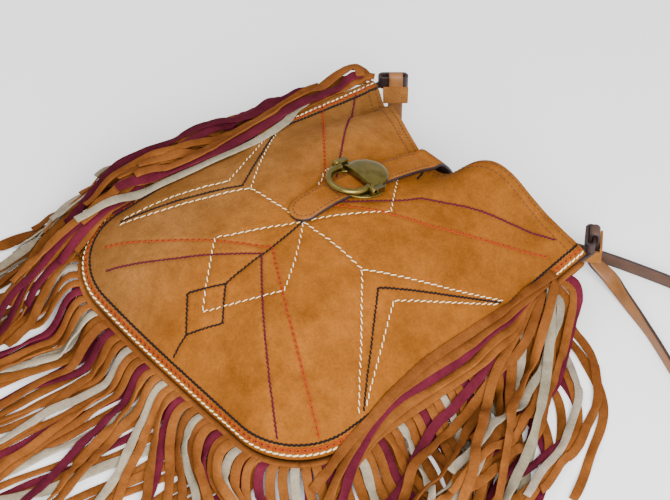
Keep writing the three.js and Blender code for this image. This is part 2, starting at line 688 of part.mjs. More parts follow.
function strap() {
  const end = (sign, z, tail) => {
    const frame = anchorFrame(sign);
    const side = vector(1, 0, 0).transformDirection(frame);
    return [...STRAP_END, { out: 4.1, up: -tail }].map(({ out, up }) => {
      const place = vector(STRAP_ASIDE, sign * out, z + up).applyMatrix4(frame);
      return { place, side };
    });
  };
  const run = STRAP_RUN.map(({ x, y, z, turn, lean }) => {
    const t = THREE.MathUtils.degToRad(turn);
    const l = THREE.MathUtils.degToRad(lean);
    const side = vector(Math.cos(l) * Math.cos(t), Math.cos(l) * Math.sin(t), Math.sin(l));
    return { place: vector(x, y, z), side };
  });
  const left = end(-1, ANCHOR_LEFT_Z, STRAP_TAIL).reverse();
  const rows = [...left, ...run, ...end(1, ANCHOR_RIGHT_Z, STRAP_TAIL / 2)];
  const route = new THREE.CatmullRomCurve3(rows.map((row) => row.place), false, 'centripetal');
  const sides = new THREE.CatmullRomCurve3(rows.map((row) => row.side), false, 'catmullrom', 0.2);
  const steps = (rows.length - 1) * 2;
  return band(series(steps + 1, (k) => {
    const t = k / steps;
    const ahead = route.getTangent(t);
    const raw = sides.getPoint(t);
    const side = raw.addScaledVector(ahead, -raw.dot(ahead)).normalize();
    const up = side.clone().cross(ahead);
    return { centre: route.getPoint(t), side, half: STRAP_HALF, up, thick: STRAP_THICK };
  }));
}

// Assembly
const bag = new THREE.Group();
const add = (name, geometry, finish) => {
  const mesh = new THREE.Mesh(geometry, new THREE.MeshStandardMaterial(finish));
  mesh.name = name;
  bag.add(mesh);
};

add('front_panel', panel(frontPoint, FRONT_RINGS, -1), SUEDE);
add('back_panel', panel(backPoint, BACK_RINGS, 1), SUEDE);

for (const { name, layer, colour } of COLOURS) {
  const finish = { color: colour, roughness: 0.95, metalness: 0 };
  for (const side of SIDES) {
    const low = sidePlace(side.sign, side.lowest - 5);
    const high = sidePlace(side.sign, side.highest + 6);
    const pieces = [head(Math.min(low, high), Math.max(low, high), layer, 6)];
    for (let k = 0; k < side.strips; k += 1) {
      if (COLOUR_ORDER[k % COLOUR_ORDER.length] === name) {
        pieces.push(sideStrip(side, k, layer, stripLength(k)));
      }
    }
    add(`fringe_${side.name}_${name}`, fuse(pieces), finish);
  }
  const pieces = [head(bottomPlace(-BOTTOM_REACH - 4), bottomPlace(BOTTOM_REACH + 4), layer, 24)];
  for (let k = 0; k < BOTTOM_STRIPS; k += 1) {
    const x = BOTTOM_REACH * (2 * k / (BOTTOM_STRIPS - 1) - 1);
    if (COLOUR_ORDER[k % COLOUR_ORDER.length] === name) {
      pieces.push(bottomStrip(x, layer, stripLength(k)));
    }
  }
  add(`fringe_bottom_${name}`, fuse(pieces), finish);
}

add('closure_tab', tab(), SUEDE);
add('clasp_base', claspBase().applyMatrix4(claspPlace), BRASS);
add('clasp_ring', claspRing().applyMatrix4(claspPlace), BRASS);
add('anchor_left', anchor(-1, ANCHOR_LEFT_Z), LEATHER);
add('anchor_right', anchor(1, ANCHOR_RIGHT_Z), LEATHER);
add('keeper_left', keeper(-1, ANCHOR_LEFT_Z), LEATHER);
add('keeper_right', keeper(1, ANCHOR_RIGHT_Z), LEATHER);
add('shoulder_strap', strap(), LEATHER);

export default bag;
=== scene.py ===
# Looks for a fringed suede crossbody bag that lies on its back.
# Lengths in the tables are millimetres in the part's frame, and meshes are made in metres.

import math

import bmesh
import bpy
import numpy as np
from mathutils import Matrix, Vector, kdtree
from mathutils.bvhtree import BVHTree


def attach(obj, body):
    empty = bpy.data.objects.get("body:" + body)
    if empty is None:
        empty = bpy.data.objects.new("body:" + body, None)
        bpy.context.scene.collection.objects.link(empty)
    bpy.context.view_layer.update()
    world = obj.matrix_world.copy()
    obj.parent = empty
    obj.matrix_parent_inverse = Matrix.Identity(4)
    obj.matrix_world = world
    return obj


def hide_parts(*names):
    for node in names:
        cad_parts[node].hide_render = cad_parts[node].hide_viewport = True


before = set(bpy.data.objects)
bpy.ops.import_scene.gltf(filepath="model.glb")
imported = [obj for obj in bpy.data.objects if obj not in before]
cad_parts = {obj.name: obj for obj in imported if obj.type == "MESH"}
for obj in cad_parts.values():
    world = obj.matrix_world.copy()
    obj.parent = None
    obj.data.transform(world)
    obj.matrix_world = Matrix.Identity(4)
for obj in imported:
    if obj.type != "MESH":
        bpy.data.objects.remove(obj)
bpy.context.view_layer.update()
scene = bpy.context.scene
chance = np.random.default_rng(11)
MM = 0.001

# Camera at the photo's view
CAMERA_PLACE = (709.3, -606.5, 923.2)
CAMERA_AZIMUTH = 48.7
CAMERA_ELEVATION = 43.0
CAMERA_LENS = 107.46


def make_camera():
    a = math.radians(CAMERA_AZIMUTH)
    e = math.radians(CAMERA_ELEVATION)
    right = Vector((math.cos(a), math.sin(a), 0))
    back = Vector((math.sin(a) * math.cos(e), -math.cos(a) * math.cos(e), math.sin(e)))
    up = back.cross(right)
    data = bpy.data.cameras.new("camera")
    data.sensor_width = 36
    data.lens = CAMERA_LENS
    data.clip_start = 0.05
    data.clip_end = 20
    camera = bpy.data.objects.new("camera", data)
    turn = Matrix((right, up, back)).transposed().to_4x4()
    camera.matrix_world = Matrix.Translation(Vector(CAMERA_PLACE) * MM) @ turn
    scene.collection.objects.link(camera)
    scene.camera = camera


make_camera()

# Sizes of the panels, as in the solids
WALL = 2.0
MOUTH_HALF_WIDTH = 104.0
MOUTH_CORNER_Y = 142.0
BOTTOM_HALF_WIDTH = 118.0
CORNER_RADIUS = 46.0
BOTTOM_Y = -122.5
CORNER_Y = BOTTOM_Y + CORNER_RADIUS
FRONT_MOUTH_Y = 97.0
BACK_MOUTH_Y = 136.0
FOOT_Y = -40.0
MOUTH_BOW = 0.08
DOME_BOTTOM = 2.0
DOME_SIDE = 2.6
DOME_EASE = 0.9
BACK_FLAT = 0.42
BACK_CURVE = 1.9
BACK_LIFT = 6.5
BACK_LIFT_FROM = 70.0
BACK_LIFT_TO = 104.0
SEAM_HALF = 2.7
FALL = 1.6
HEAD_OUT = 2.7
HEAD_HALF = 1.6

# Height of the seam along the outline, and of the front along its middle line
SEAM_RISE = [(0, 50), (0.16, 56), (0.3, 42), (0.42, 24), (0.5, 19), (0.62, 18.5), (0.82, 19), (1, 30)]
SPINE = [(-40, 77.5), (-10, 83.5), (10, 86), (30, 85), (50, 82.3), (70, 78.8), (85, 75), (97, 70.5)]

# Folds and dents of the front: middle, reach across and along, and rise
FOLDS = [
    {"name": "left valley", "x": -80, "y": 126, "across": 11, "along": 50, "rise": -13},
    {"name": "left ridge", "x": -50, "y": 60, "across": 18, "along": 34, "rise": 3},
    {"name": "right bulge", "x": 46, "y": 116, "across": 27, "along": 36, "rise": 23},
    {"name": "dent by the tab", "x": 14, "y": 99, "across": 13, "along": 24, "rise": -8},
    {"name": "bottom dent", "x": -62, "y": -66, "across": 26, "along": 18, "rise": -3},
]

SIDE_LENGTH = math.hypot(BOTTOM_HALF_WIDTH - MOUTH_HALF_WIDTH, MOUTH_CORNER_Y - CORNER_Y)
ARC_LENGTH = 0.5 * math.pi * CORNER_RADIUS
HALF_BOTTOM = BOTTOM_HALF_WIDTH - CORNER_RADIUS
OUTLINE = 2 * (SIDE_LENGTH + ARC_LENGTH + HALF_BOTTOM)


# Curves and lines
def ease(t):
    t = np.clip(t, 0.0, 1.0)
    return t * t * (3.0 - 2.0 * t)


def unit(rows):
    """The same directions with length one."""
    return rows / np.linalg.norm(rows, axis=-1, keepdims=True)


def run_along(points):
    """The distance gone at each point of a line."""
    return np.concatenate([[0], np.cumsum(np.linalg.norm(np.diff(points, axis=0), axis=1))])


def read_at(at, places, rows):
    """Every column of some rows, read between their places."""
    return np.stack([np.interp(at, places, column) for column in rows.T], -1)


def grid_of(columns, rows):
    return np.meshgrid(columns, rows, indexing="ij")


def lookup(rows, at):
    """A smooth curve through the rows of a table of places and heights."""
    places = np.array([row[0] for row in rows], float)
    heights = np.array([row[1] for row in rows], float)
    at = np.clip(np.asarray(at, float), places[0], places[-1])
    k = np.clip(np.searchsorted(places, at, side="left"), 1, len(rows) - 1)
    number = np.arange(len(rows))
    before = np.maximum(0, number - 1)
    after = np.minimum(len(rows) - 1, number + 1)
    slope = (heights[after] - heights[before]) / (places[after] - places[before])
    span = places[k] - places[k - 1]
    t = (at - places[k - 1]) / span
    u = 1 - t
    ends = heights[k - 1] * (1 + 2 * t) * u * u + heights[k] * (1 + 2 * u) * t * t
    return ends + span * t * u * (slope[k - 1] * u - slope[k] * t)


def smooth_line(rows, step):
    """A smooth curve through rows of points, at even steps."""
    rows = np.asarray(rows, float)
    knots = run_along(rows)
    at = np.linspace(0, knots[-1], 60 * len(rows))
    fine = np.stack([lookup(list(zip(knots, column)), at) for column in rows.T], -1)
    run = run_along(fine)
    return read_at(np.linspace(0, run[-1], max(2, int(run[-1] / step) + 1)), run, fine)


# The panels as surfaces
def seam_at(q):
    """The seam's place, height and outward direction, from the left mouth corner to the right one."""
    q = np.clip(np.asarray(q, float), 0, 1)
    mirror = np.where(q > 0.5, -1.0, 1.0)
    run = np.minimum(q, 1 - q) * OUTLINE
    side = np.clip(run / SIDE_LENGTH, 0, 1)
    angle = np.clip((run - SIDE_LENGTH) / CORNER_RADIUS, 0, math.pi / 2)
    flat = np.clip(run - SIDE_LENGTH - ARC_LENGTH, 0, None)
    on_side = run < SIDE_LENGTH
    side_x = -MOUTH_HALF_WIDTH - (BOTTOM_HALF_WIDTH - MOUTH_HALF_WIDTH) * side
    side_y = MOUTH_CORNER_Y + (CORNER_Y - MOUTH_CORNER_Y) * side
    x = np.where(on_side, side_x, -HALF_BOTTOM - CORNER_RADIUS * np.cos(angle) + flat)
    y = np.where(on_side, side_y, CORNER_Y - CORNER_RADIUS * np.sin(angle))
    lean = (BOTTOM_HALF_WIDTH - MOUTH_HALF_WIDTH) / SIDE_LENGTH
    tall = (MOUTH_CORNER_Y - CORNER_Y) / SIDE_LENGTH
    out_x = np.where(on_side, -tall, -np.cos(angle))
    out_y = np.where(on_side, lean, -np.sin(angle))
    share = np.clip((y - CORNER_Y) / (MOUTH_CORNER_Y - CORNER_Y), 0, 1)
    return x * mirror, y, lookup(SEAM_RISE, q), out_x * mirror, out_y, share


def left_share(y):
    """The share of the outline at which the left side has a given y."""
    down = MOUTH_CORNER_Y - np.clip(y, CORNER_Y, MOUTH_CORNER_Y)
    return SIDE_LENGTH / OUTLINE * down / (MOUTH_CORNER_Y - CORNER_Y)


def fold(x, y):
    total = 0.0
    for row in FOLDS:
        across = (x - row["x"]) / row["across"]
        along = (y - row["y"]) / row["along"]
        total = total + row["rise"] * np.exp(-(across**2) - along**2)
    return total


def front_point(q, r):
    sx, sy, sz, out_x, _, share = seam_at(q)
    foot = FOOT_Y + (FRONT_MOUTH_Y - FOOT_Y) * share
    x = sx * r
    y = foot + (sy - foot) * r ** (1 + MOUTH_BOW * share)
    power = DOME_BOTTOM + (DOME_SIDE - DOME_BOTTOM) * out_x**2
    dome = np.maximum(0, 1 - r**power) ** DOME_EASE
    edge = sz + SEAM_HALF + WALL
    z = edge + (lookup(SPINE, foot) - edge) * dome + fold(x, y) * (1 - r**6)
    return np.stack([x, y, z], -1)


def back_point(q, r):
    sx, sy, sz, _, _, share = seam_at(q)
    foot = FOOT_Y + (BACK_MOUTH_Y - FOOT_Y) * share
    x = sx * r
    y = foot + (sy - foot) * r
    rise = np.maximum(0, (r - BACK_FLAT) / (1 - BACK_FLAT)) ** BACK_CURVE
    lift = BACK_LIFT * ease((y - BACK_LIFT_FROM) / (BACK_LIFT_TO - BACK_LIFT_FROM)) * (1 - rise)
    return np.stack([x, y, (sz - SEAM_HALF - WALL) * rise + lift], -1)


# Materials
class Look:
    """A material and the nodes that make its look."""

    def __init__(self, name, rough, metal=0.0):
        self.material = bpy.data.materials.new(name)
        self.material.use_nodes = True
        self.nodes = self.material.node_tree.nodes
        self.links = self.material.node_tree.links
        self.shader = self.nodes["Principled BSDF"]
        self.place = self.nodes.new("ShaderNodeTexCoord").outputs["Object"]
        self.feed("Roughness", rough)
        self.feed("Metallic", metal)

    def plug(self, value, socket):
        """Links an output to a socket, or gives the socket a plain value."""
        if hasattr(value, "is_linked"):
            self.links.new(value, socket)
        else:
            socket.default_value = value

    def feed(self, name, value):
        self.plug(value, self.shader.inputs[name])

    def node(self, kind, inputs):
        made = self.nodes.new(kind)
        for name, value in inputs.items():
            self.plug(value, made.inputs[name])
        return made.outputs

    def noise(self, scale, detail, rough):
        inputs = {"Scale": scale, "Detail": detail, "Roughness": rough, "Vector": self.place}
        return self.node("ShaderNodeTexNoise", inputs)["Fac"]

    def ramp(self, source, low, high, first=0.0, last=1.0):
        inputs = {"Value": source, "From Min": low, "From Max": high, "To Min": first, "To Max": last}
        return self.node("ShaderNodeMapRange", inputs)["Result"]

    def mix(self, share, first, second, blend="MIX"):
        made = self.nodes.new("ShaderNodeMix")
        made.data_type = "RGBA"
        made.blend_type = blend
        for number, value in ((0, share), (6, first), (7, second)):
            self.plug(value, made.inputs[number])
        return made.outputs[2]

    def clouded(self, source, low, high, dark, light):
        """Two colours mixed by a pattern between two of its values."""
        return self.mix(self.ramp(source, low, high), (*dark, 1), (*light, 1))

    def bump(self, source, strength, distance, under=None):
        inputs = {"Strength": strength, "Distance": distance, "Height": source}
        if under is not None:
            inputs["Normal"] = under
        return self.node("ShaderNodeBump", inputs)["Normal"]


def suede(name, light, dark, tinted=False, grain=1.0):
    """Napped leather: cloudy colour, a fine nap and a soft sheen."""
    look = Look(name, 0.92)
    colour = look.clouded(look.noise(26, 4, 0.6), 0.36, 0.66, dark, light)
    nap = look.noise(1500, 3, 0.7)
    layers = [
        (look.noise(120, 3, 0.6), 0.7, (0.84, 0.82, 0.78)),
        (nap, 0.72, (0.84, 0.83, 0.8)),
        (look.noise(560, 2, 0.65), 0.7, (0.87, 0.86, 0.84)),
    ]
    for source, high, darkest in layers:
        layer = look.clouded(source, 0.3, high, darkest, (1.1, 1.1, 1.1))
        colour = look.mix(1.0, colour, layer, "MULTIPLY")
    # The point tint multiplies the colour; on the front and the strips it carries painted shade
    if tinted:
        tint = look.nodes.new("ShaderNodeAttribute")
        tint.attribute_name = "tint"
        colour = look.mix(1.0, colour, tint.outputs["Color"], "MULTIPLY")
    look.feed("Base Color", colour)
    look.feed("Sheen Weight", 0.12)
    look.feed("Sheen Roughness", 0.45)
    look.feed("Sheen Tint", (*[min(1.0, 2.0 * c) for c in light], 1))
    look.feed("Specular IOR Level", 0.05)
    pebble = look.bump(look.noise(420, 2, 0.6), 0.22 * grain, 0.0008)
    look.feed("Normal", look.bump(nap, 0.3 * grain, 0.0003, pebble))
    return look.material


def smooth_leather(name, light, dark, rough):
    """Finished leather with fine pores and uneven polish."""
    look = Look(name, rough)
    cloud = look.noise(70, 4, 0.6)
    pore = look.node("ShaderNodeTexVoronoi", {"Scale": 1300, "Vector": look.place})["Distance"]
    look.feed("Base Color", look.clouded(cloud, 0.35, 0.68, dark, light))
    look.feed("Roughness", look.ramp(cloud, 0.3, 0.7, rough - 0.08, rough + 0.1))
    look.feed("Normal", look.bump(pore, 0.2, 0.0002))
    return look.material


def thread(name, light, dark, rough=0.55):
    """Sewing thread: fine twisted fibres across each stitch."""
    look = Look(name, rough)
    fibre = look.noise(2600, 2, 0.6)
    look.feed("Base Color", look.clouded(fibre, 0.3, 0.6, dark, light))
    look.feed("Specular IOR Level", 0.2)
    look.feed("Normal", look.bump(fibre, 0.4, 0.0002))
    return look.material


def patinated_brass(name, light, dark):
    """Brass with a dull olive patina and rubbed high spots."""
    look = Look(name, 0.3, 1.0)
    patina = look.noise(130, 4, 0.65)
    look.feed("Base Color", look.clouded(patina, 0.35, 0.7, dark, light))
    look.feed("Roughness", look.ramp(patina, 0.3, 0.7, 0.26, 0.46))
    look.feed("Normal", look.bump(look.noise(900, 2, 0.6), 0.06, 0.0002))
    return look.material


TAN = suede("tan_suede", (0.264, 0.088, 0.0124), (0.188, 0.0604, 0.0072), tinted=True)
TAN_INSIDE = suede("tan_suede_inside", (0.16, 0.0664, 0.0192), (0.112, 0.0448, 0.0128), grain=1.6)
TAN_STRIP = suede("tan_strip", (0.216, 0.0728, 0.016), (0.136, 0.0424, 0.0092), tinted=True)
BURGUNDY = suede("burgundy_strip", (0.116, 0.0124, 0.0272), (0.068, 0.0072, 0.0164), tinted=True)
BONE = suede("bone_strip", (0.308, 0.26, 0.192), (0.24, 0.202, 0.148), tinted=True)
KEEPER = suede("keeper_suede", (0.288, 0.12, 0.0336), (0.232, 0.092, 0.024))
DARK_EDGE = smooth_leather("dark_edge", (0.0276, 0.011, 0.00936), (0.0138, 0.00607, 0.00607), 0.5)
BROWN = smooth_leather("brown_leather", (0.232, 0.088, 0.0193), (0.154, 0.0552, 0.011), 0.6)
UNDERSIDE = smooth_leather("brown_underside", (0.0718, 0.0303, 0.0154), (0.0414, 0.0166, 0.00936), 0.7)
BRASS = patinated_brass("antique_brass", (0.22, 0.168, 0.043), (0.13, 0.101, 0.026))
STRIP_MATERIAL = {"tan": TAN_STRIP, "burgundy": BURGUNDY, "bone": BONE}
THREADS = {
    "white": thread("white_thread", (0.95, 0.8, 0.5), (0.78, 0.62, 0.36)),
    "black": thread("black_thread", (0.0096, 0.0048, 0.0056), (0.0032, 0.0024, 0.0024), 0.9),
    "burgundy": thread("burgundy_thread", (0.088, 0.004, 0.0192), (0.028, 0.0016, 0.0064), 0.9),
    "orange": thread("orange_thread", (0.3, 0.043, 0.001), (0.2, 0.0255, 0.0008), 0.9),
    "brown": thread("brown_thread", (0.0936, 0.0331, 0.011), (0.0552, 0.0193, 0.00773)),
}


# Meshes
class Heap:
    """Points, faces, a material number for each face and a tint for each point, for one mesh."""

    def __init__(self):
        self.points = []
        self.faces = []
        self.slots = []
        self.tints = []
        self.count = 0

    def add(self, points, faces, slots=0, tints=(1.0, 1.0, 1.0)):
        points = np.asarray(points, float).reshape(-1, 3)
        self.points.append(points)
        self.faces.extend([tuple(int(v) + self.count for v in face) for face in faces])
        self.slots.extend([slots] * len(faces) if np.isscalar(slots) else list(slots))
        self.tints.append(np.broadcast_to(np.asarray(tints, float), (len(points), 3)))
        self.count += len(points)

    def make(self, name, materials, body="bag"):
        mesh = bpy.data.meshes.new(name)
        mesh.from_pydata((np.concatenate(self.points) * MM).tolist(), [], self.faces)
        for material in materials:
            mesh.materials.append(material)
        mesh.polygons.foreach_set("material_index", np.array(self.slots, np.int32))
        mesh.polygons.foreach_set("use_smooth", np.ones(len(mesh.polygons), bool))
        colour = mesh.color_attributes.new("tint", "FLOAT_COLOR", "POINT")
        tints = np.concatenate(self.tints)
        values = np.concatenate([tints, np.ones((len(tints), 1))], 1)
        colour.data.foreach_set("color", values.astype(np.float32).ravel())
        mesh.update()
        piece = bpy.data.objects.new(name, mesh)
        scene.collection.objects.link(piece)
        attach(piece, body)
        return piece


def weld(grid):
    """The points of a grid without doubles, and each grid place's number among them."""
    flat = grid.reshape(-1, 3)
    _, first, number = np.unique(np.round(flat, 4), axis=0, return_index=True, return_inverse=True)
    return flat[first], number.reshape(grid.shape[:2])


def grid_faces(number, flip=False):
    corners = [number[:-1, :-1], number[:-1, 1:], number[1:, 1:], number[1:, :-1]]
    rows = np.stack(corners[::-1] if flip else corners, -1).reshape(-1, 4)
    faces = []
    for row in rows.tolist():
        face = list(dict.fromkeys(row))
        if len(face) > 2:
            faces.append(face)
    return faces


def tube_faces(rings, sides):
    """The faces of a tube with closed ends: side by side along it, then the two ends."""
    faces = []
    for k in range(rings - 1):
        for c in range(sides):
            d = (c + 1) % sides
            faces.append((k * sides + c, k * sides + d, (k + 1) * sides + d, (k + 1) * sides + c))
    faces.append(tuple(reversed(range(sides))))
    faces.append(tuple((rings - 1) * sides + c for c in range(sides)))
    return faces


def band_rings(spot, side, up, half, thick, profile):
    """Rings of a flat band round its middle line, by a profile in shares of half width and thickness."""
    across = side[:, None, :] * (profile[None, :, :1] * half[:, None, None])
    return spot[:, None, :] + across + up[:, None, :] * (profile[None, :, 1:] * thick)


def band_slots(sides, faces):
    """Material numbers of a band's faces: side by side, then the two ends."""
    return [sides[k % len(sides)] for k in range(len(faces) - 2)] + [1, 1]


def normals_of(points, faces):
    mesh = bpy.data.meshes.new("measure")
    mesh.from_pydata(points.tolist(), [], faces)
    mesh.update()
    normals = np.zeros(len(points) * 3, np.float32)
    mesh.vertex_normals.foreach_get("vector", normals)
    bpy.data.meshes.remove(mesh)
    return normals.reshape(-1, 3).astype(float)


def fix_faces(piece):
    """Turns every face of a closed mesh outwards."""
    work = bmesh.new()
    work.from_mesh(piece.data)
    bmesh.ops.remove_doubles(work, verts=work.verts, dist=2e-6)
    bmesh.ops.recalc_face_normals(work, faces=work.faces)
    work.to_mesh(piece.data)
    work.free()


# The front's grid before its fine relief
COLUMNS = 300
RINGS = 96
FRONT = front_point(*grid_of(np.linspace(0, 1, COLUMNS + 1), np.linspace(0, 1, RINGS + 1)))
ring_steps = np.linalg.norm(np.diff(FRONT, axis=1), axis=2)
FROM_EDGE = np.pad(np.cumsum(ring_steps[:, ::-1], 1)[:, ::-1], ((0, 0), (0, 1)))
column_steps = np.linalg.norm(np.diff(FRONT, axis=0), axis=2)
from_left = np.pad(np.cumsum(column_steps, 0), ((1, 0), (0, 0)))
from_right = np.pad(np.cumsum(column_steps[::-1], 0)[::-1], ((0, 1), (0, 0)))
FROM_MOUTH = np.minimum(from_left, from_right)
front_points, front_number = weld(FRONT)
front_faces = grid_faces(front_number)
front_normals = normals_of(front_points, front_faces)
base_tree = BVHTree.FromPolygons(front_points.tolist(), front_faces)
RAY_FROM_Z = 300
SEWN_STEP = 0.7


def on_surface(tree, points):
    """The nearest places on a surface and its directions there."""
    places = []
    ups = []
    for p in points:
        place, up, _, _ = tree.find_nearest(Vector(p))
        places.append(tuple(place))
        ups.append(tuple(up))
    return np.array(places), np.array(ups)


def drop_on_front(rows):
    """A plan line laid on the front from above."""
    places = []
    for x, y in smooth_line(rows, SEWN_STEP):
        place, _, _, _ = base_tree.ray_cast(Vector((x, y, RAY_FROM_Z)), Vector((0, 0, -1)))
        if place is not None:
            places.append(tuple(place))
    return np.array(places)


# Topstitching of the front: corners of the figures in plan, then lines of start, end and bow by thread
CENTRE = (0, -10)
LOZENGE_RIGHT = (33, -54)
LOZENGE_FOOT = (0, -92)
LOZENGE_LEFT = (-32, -55)
STAR_RIGHT = (29, 38)
STAR_LEFT = (-28, 34)
DIAMOND_HEAD = (0, -73)
DIAMOND_RIGHT = (17, -90)
DIAMOND_FOOT = (0, -105)
DIAMOND_LEFT = (-17, -90)
RIGHT_TIP = (52, -7)
RIGHT_BLACK_TIP = (66, -6)
RIGHT_INNER_TIP = (76, -2)
LEFT_TIP = (-48, -13)
LEFT_BLACK_TIP = (-54, -15)
LEFT_INNER_TIP = (-66, -17)
RED_TIP = (0, -44)
RED_BEND = (30, 62)
ORANGE_TIP = (1, -36)
ORANGE_BEND = (50, 52)
PATTERN = {
    "white": [
        (CENTRE, LOZENGE_RIGHT, 1.5),
        (LOZENGE_RIGHT, LOZENGE_FOOT, 2),
        (LOZENGE_FOOT, LOZENGE_LEFT, 0),
        (LOZENGE_LEFT, CENTRE, 0.5),
        (CENTRE, RIGHT_TIP, 0),
        (CENTRE, LEFT_TIP, 0),
        (RIGHT_TIP, (110, -61), 0.5),
        (RIGHT_TIP, (102, 69), -3.5),
        (RIGHT_INNER_TIP, (109, -54), 0),
        (RIGHT_INNER_TIP, (102, 65), -1),
        (LEFT_TIP, (-98, -82), -1.5),
        (LEFT_TIP, (-99, 60), 1.5),
        (LEFT_INNER_TIP, (-101, -77), -4),
        (LEFT_INNER_TIP, (-100, 56), -1.5),
        (CENTRE, STAR_RIGHT, 0),
        (STAR_RIGHT, (4, 67), 0),
        (CENTRE, STAR_LEFT, 0),
        (STAR_LEFT, (-4, 67), 0),
    ],
    "black": [
        (CENTRE, DIAMOND_HEAD, 1),
        (DIAMOND_HEAD, DIAMOND_RIGHT, 0),
        (DIAMOND_RIGHT, DIAMOND_FOOT, 0),
        (DIAMOND_FOOT, DIAMOND_LEFT, 0),
        (DIAMOND_LEFT, DIAMOND_HEAD, 0),
        (DIAMOND_FOOT, (0, -116), 0),
        (RIGHT_BLACK_TIP, (110, -57), 0),
        (RIGHT_BLACK_TIP, (102, 67), -1.5),
        (LEFT_BLACK_TIP, (-100, -80), -3),
        (LEFT_BLACK_TIP, (-100, 58), -1),
        ((10, 79), (5, 89), 0),
    ],
    "burgundy": [
        (RED_TIP, (92, -110), -2.5),
        (RED_TIP, (-78, -109), 2),
        ((0, 14), RED_BEND, -2),
        (RED_BEND, (91, 126), -6),
        ((-2, 16), (-94, 118), 0),
    ],
    "orange": [
        (ORANGE_TIP, (108, -91), -2.5),
        (ORANGE_TIP, (-92, -99), 0),
        ((0, 10), ORANGE_BEND, 1),
        (ORANGE_BEND, (96, 114), -3.5),
        ((-2, 11), (-100, 93), 0),
    ],
}
MARGIN = {"black": 8.8, "orange": 5.5, "white": 2.5}
MARGIN_SHIFT = [(0, 4.5), (0.05, 7.5), (0.1, 10.5), (0.16, 9), (0.3, 0), (0.4, 0), (1, 0)]
HEM = (2.8, 8.8)


def bowed(start, end, bow):
    """Plan points from start to end, with the middle pushed to the left of the way."""
    start = np.array(start, float)
    way = np.array(end, float) - start
    left = np.array([-way[1], way[0]]) / np.linalg.norm(way)
    share = np.linspace(0, 1, 5)[:, None]
    return start + way * share + left * bow * 4 * share * (1 - share)


def margin_line(distance, wanted):
    """The line on the front's grid where a distance from its edge has a given value."""
    line = []
    for far, row in zip(distance[:, ::-1], FRONT[:, ::-1]):
        if far.max() > wanted:
            line.append(read_at(wanted, far, row))
    return np.array(line)


def hem_line(grid, wanted):
    """The line at a given distance from the first column of a grid."""
    line = []
    for j in range(RINGS - 4):
        line.append(read_at(wanted, run_along(grid[:, j]), grid[:, j]))
    return np.array(line)


pattern_lines = {name: [drop_on_front(bowed(*row)) for row in rows] for name, rows in PATTERN.items()}
FROM_MARGIN = FROM_EDGE - lookup(MARGIN_SHIFT, np.linspace(0, 1, COLUMNS + 1))[:, None]
margin_lines = {name: margin_line(FROM_MARGIN, far) for name, far in MARGIN.items()}
hem_lines = []
for far in HEM:
    hem_lines.append(hem_line(FRONT[: COLUMNS // 4], far))
    hem_lines.append(hem_line(FRONT[::-1][: COLUMNS // 4], far))


# Fine relief of the front: slow waves, sewn lines, the margin and the hem
WAVE_HEIGHT = 0.55
SEWN_DEPTH = 0.55
SEWN_BULGE = 0.22
MARGIN_RISE = 0.5
MARGIN_DEPTH = 0.6
HEM_RISE = 0.55
HEM_DEPTH = 0.45


def slow_waves(points, seed, longest, shortest, count):
    pick = np.random.default_rng(seed)
    total = np.zeros(len(points))
    for _ in range(count):
        way = unit(pick.normal(size=3))
        wave = shortest * (longest / shortest) ** pick.random()
        swing = np.sin(2 * math.pi * points @ way / wave + 2 * math.pi * pick.random())
        total += swing * (wave / longest) ** 0.7
    return total / math.sqrt(count)


def far_from(lines, points):
    """The distance of each point from the nearest of some lines."""
    along = np.concatenate(lines)
    tree = kdtree.KDTree(len(along))
    for k, p in enumerate(along):
        tree.insert(Vector(p), k)
    tree.balance()
    return np.array([tree.find(Vector(p))[2] for p in points])


def on_points(grid):
    """Values of the front's grid at its points."""
    values = np.zeros(len(front_points))
    values[front_number.ravel()] = grid.ravel()
    return values


def groove(far, at, wide):
    return np.exp(-(((far - at) / wide) ** 2))


sewn_far = far_from([line for lines in pattern_lines.values() for line in lines], front_points)
edge_far = on_points(FROM_EDGE)
margin_far = on_points(FROM_MARGIN)
mouth_far = np.full(len(front_points), 1e3)
np.minimum.at(mouth_far, front_number.ravel(), FROM_MOUTH.ravel())
relief = WAVE_HEIGHT * slow_waves(front_points, 3, 70, 16, 26)
relief *= ease((edge_far - 4) / 20)
relief -= SEWN_DEPTH * groove(sewn_far, 0, 1.2)
relief += SEWN_BULGE * groove(sewn_far, 3.4, 1.8)
relief += MARGIN_RISE * (1 - ease((margin_far - MARGIN["black"] + 0.2) / 1.6)) * ease(edge_far / 2)
for far in MARGIN.values():
    relief -= MARGIN_DEPTH * groove(margin_far, far, 0.9)
relief += HEM_RISE * (1 - ease((mouth_far - HEM[1] - 0.4) / 1.8)) * ease(edge_far / 10)
for far in HEM:
    relief -= HEM_DEPTH * groove(mouth_far, far, 0.8) * ease(edge_far / 10)
front_outer = front_points + front_normals * relief[:, None]
front_tree = BVHTree.FromPolygons(front_outer.tolist(), front_faces)

# Tint of the front: painted shade in hollows and along the seam edge, a painted highlight on raised places,
# painted shade towards the mouth and the left where the front turns away from the light, and olive at the
# left
TURNED_AWAY_SHADE = 0.17
PALE_TINT = np.array([0.0, 0.24, 1.3])
front_x = front_points[:, 0]
front_y = front_points[:, 1]
hollow = np.clip(-relief, 0, 1)
# Painted shade in hollows and along the seam edge, and a painted highlight on raised places
shade = 1.0 - 0.12 * hollow - 0.1 * groove(edge_far, 0, 2.0) + 0.06 * np.clip(relief, 0, 1)
# Painted shade in the left valley fold
shade -= 0.04 * groove(front_x, -80, 13) * groove(front_y, 120, 42)
# Painted shade towards the mouth and the left, with less of it near x = -32 towards the mouth
turned_away_shade = np.maximum(ease((front_y - 20) / 80), ease((-front_x - 40) / 60))
turned_away_shade -= 1.5 * groove(front_x, -32, 24) * ease((front_y - 20) / 60)
pale = ease(-front_x / 70)[:, None]
front_tint = (shade * (1 - TURNED_AWAY_SHADE * turned_away_shade))[:, None] * (1 + pale * PALE_TINT)


